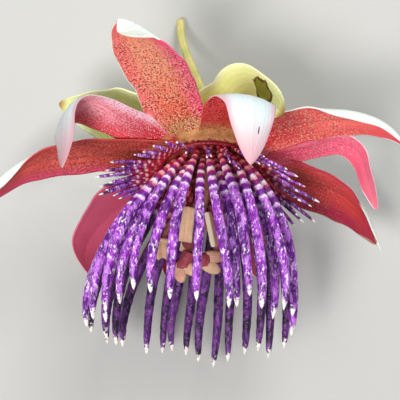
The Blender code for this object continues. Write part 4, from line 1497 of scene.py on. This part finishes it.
# %% Make the styles
STYLES = (
    ("style_1", (-5.8, -26.0, 3.8)),
    ("style_2", (1.4, -23.6, 1.2)),
    ("style_3", (-5.4, -24.2, -3.4)),
)
STYLE_RADII = ((0.0, 1.1), (0.4, 1.5), (0.7, 2.0), (0.86, 1.9), (1.0, 0.5))
LOBE = (1.6 * MM, 1.3 * MM, 2.9 * MM)
LOBE_SPREAD = 1.25 * MM
stigma_skin = plain_skin(
    "stigma_skin", tone(226, 184, 152), tone(208, 150, 132), tone(190, 116, 108), 2600.0, 0.14 * MM, 0.5
)
style_skin = plain_skin(
    "style_skin", tone(160, 66, 80), tone(140, 44, 62), tone(190, 104, 104), 2600.0, 0.1 * MM
)


def stigma_lobe(place, heading, aside, name):
    """One lobe: a sphere, longer than wide and flattened."""
    sphere = {"segments": 24, "ring_count": 16, "radius": 1.0}
    lobe = fresh(bpy.ops.mesh.primitive_uv_sphere_add, name, **sphere)
    points = points_of(lobe.data)
    set_uv(lobe.data, points[:, 0] / 2.0 + 0.5, points[:, 2] / 2.0 + 0.5)
    stand(lobe, place, (aside, heading.cross(aside).normalized(), heading), LOBE)
    lobe.data.materials.append(stigma_skin)
    return lobe


top = COLUMN_TIP + (OVARY_LENGTH + 0.6 * MM) * COLUMN_HEADING
for node, tip in STYLES:
    tip = Vector(tip) * MM
    away = away_from_column(tip)
    path = path_between(top + 1.4 * MM * away, COLUMN_HEADING, tip, away, (0.3, 0.4))
    heading = (path[-1] - path[-3]).normalized()
    aside = heading.cross(Vector((0.0, 0.0, 1.0))).normalized()
    middle = path[-1] - 0.9 * MM * heading
    parts = [bent_thread(thread, node + "_thread", path[:-1], STYLE_RADII, flatness=0.9)]
    parts[0].data.materials.append(style_skin)
    for side in (-1, 1):
        out = (heading + 0.25 * side * aside).normalized()
        square = (side * aside - (side * aside).dot(out) * out).normalized()
        parts.append(stigma_lobe(middle + side * LOBE_SPREAD * aside, out, square, f"{node}_lobe"))
    style = join(parts, node + "_fine")
    roughen(style, 0.2 * MM)
    hand_over(style, node)
print("styles:", len(STYLES))

# %% [markdown]
# ## Ground
# A plain pale sheet of paper to lie on. It belongs to the scene and not to the flower.

# %% Make the ground
floor = fresh(bpy.ops.mesh.primitive_plane_add, "floor", size=3.0, location=(0.0, 0.0, -0.2 * MM))
paper = bpy.data.materials.new("floor_paper")
paper.use_nodes = True
paper_shader = paper.node_tree.nodes["Principled BSDF"].inputs
paper_shader["Base Color"].default_value = (0.50, 0.50, 0.49, 1.0)
paper_shader["Roughness"].default_value = 0.8
floor.data.materials.append(paper)
print("ground:", floor.name)

# %% Clear away the masters
remove(thread)
remove(short_thread)
bpy.ops.object.select_all(action="DESELECT")
print("masters removed")
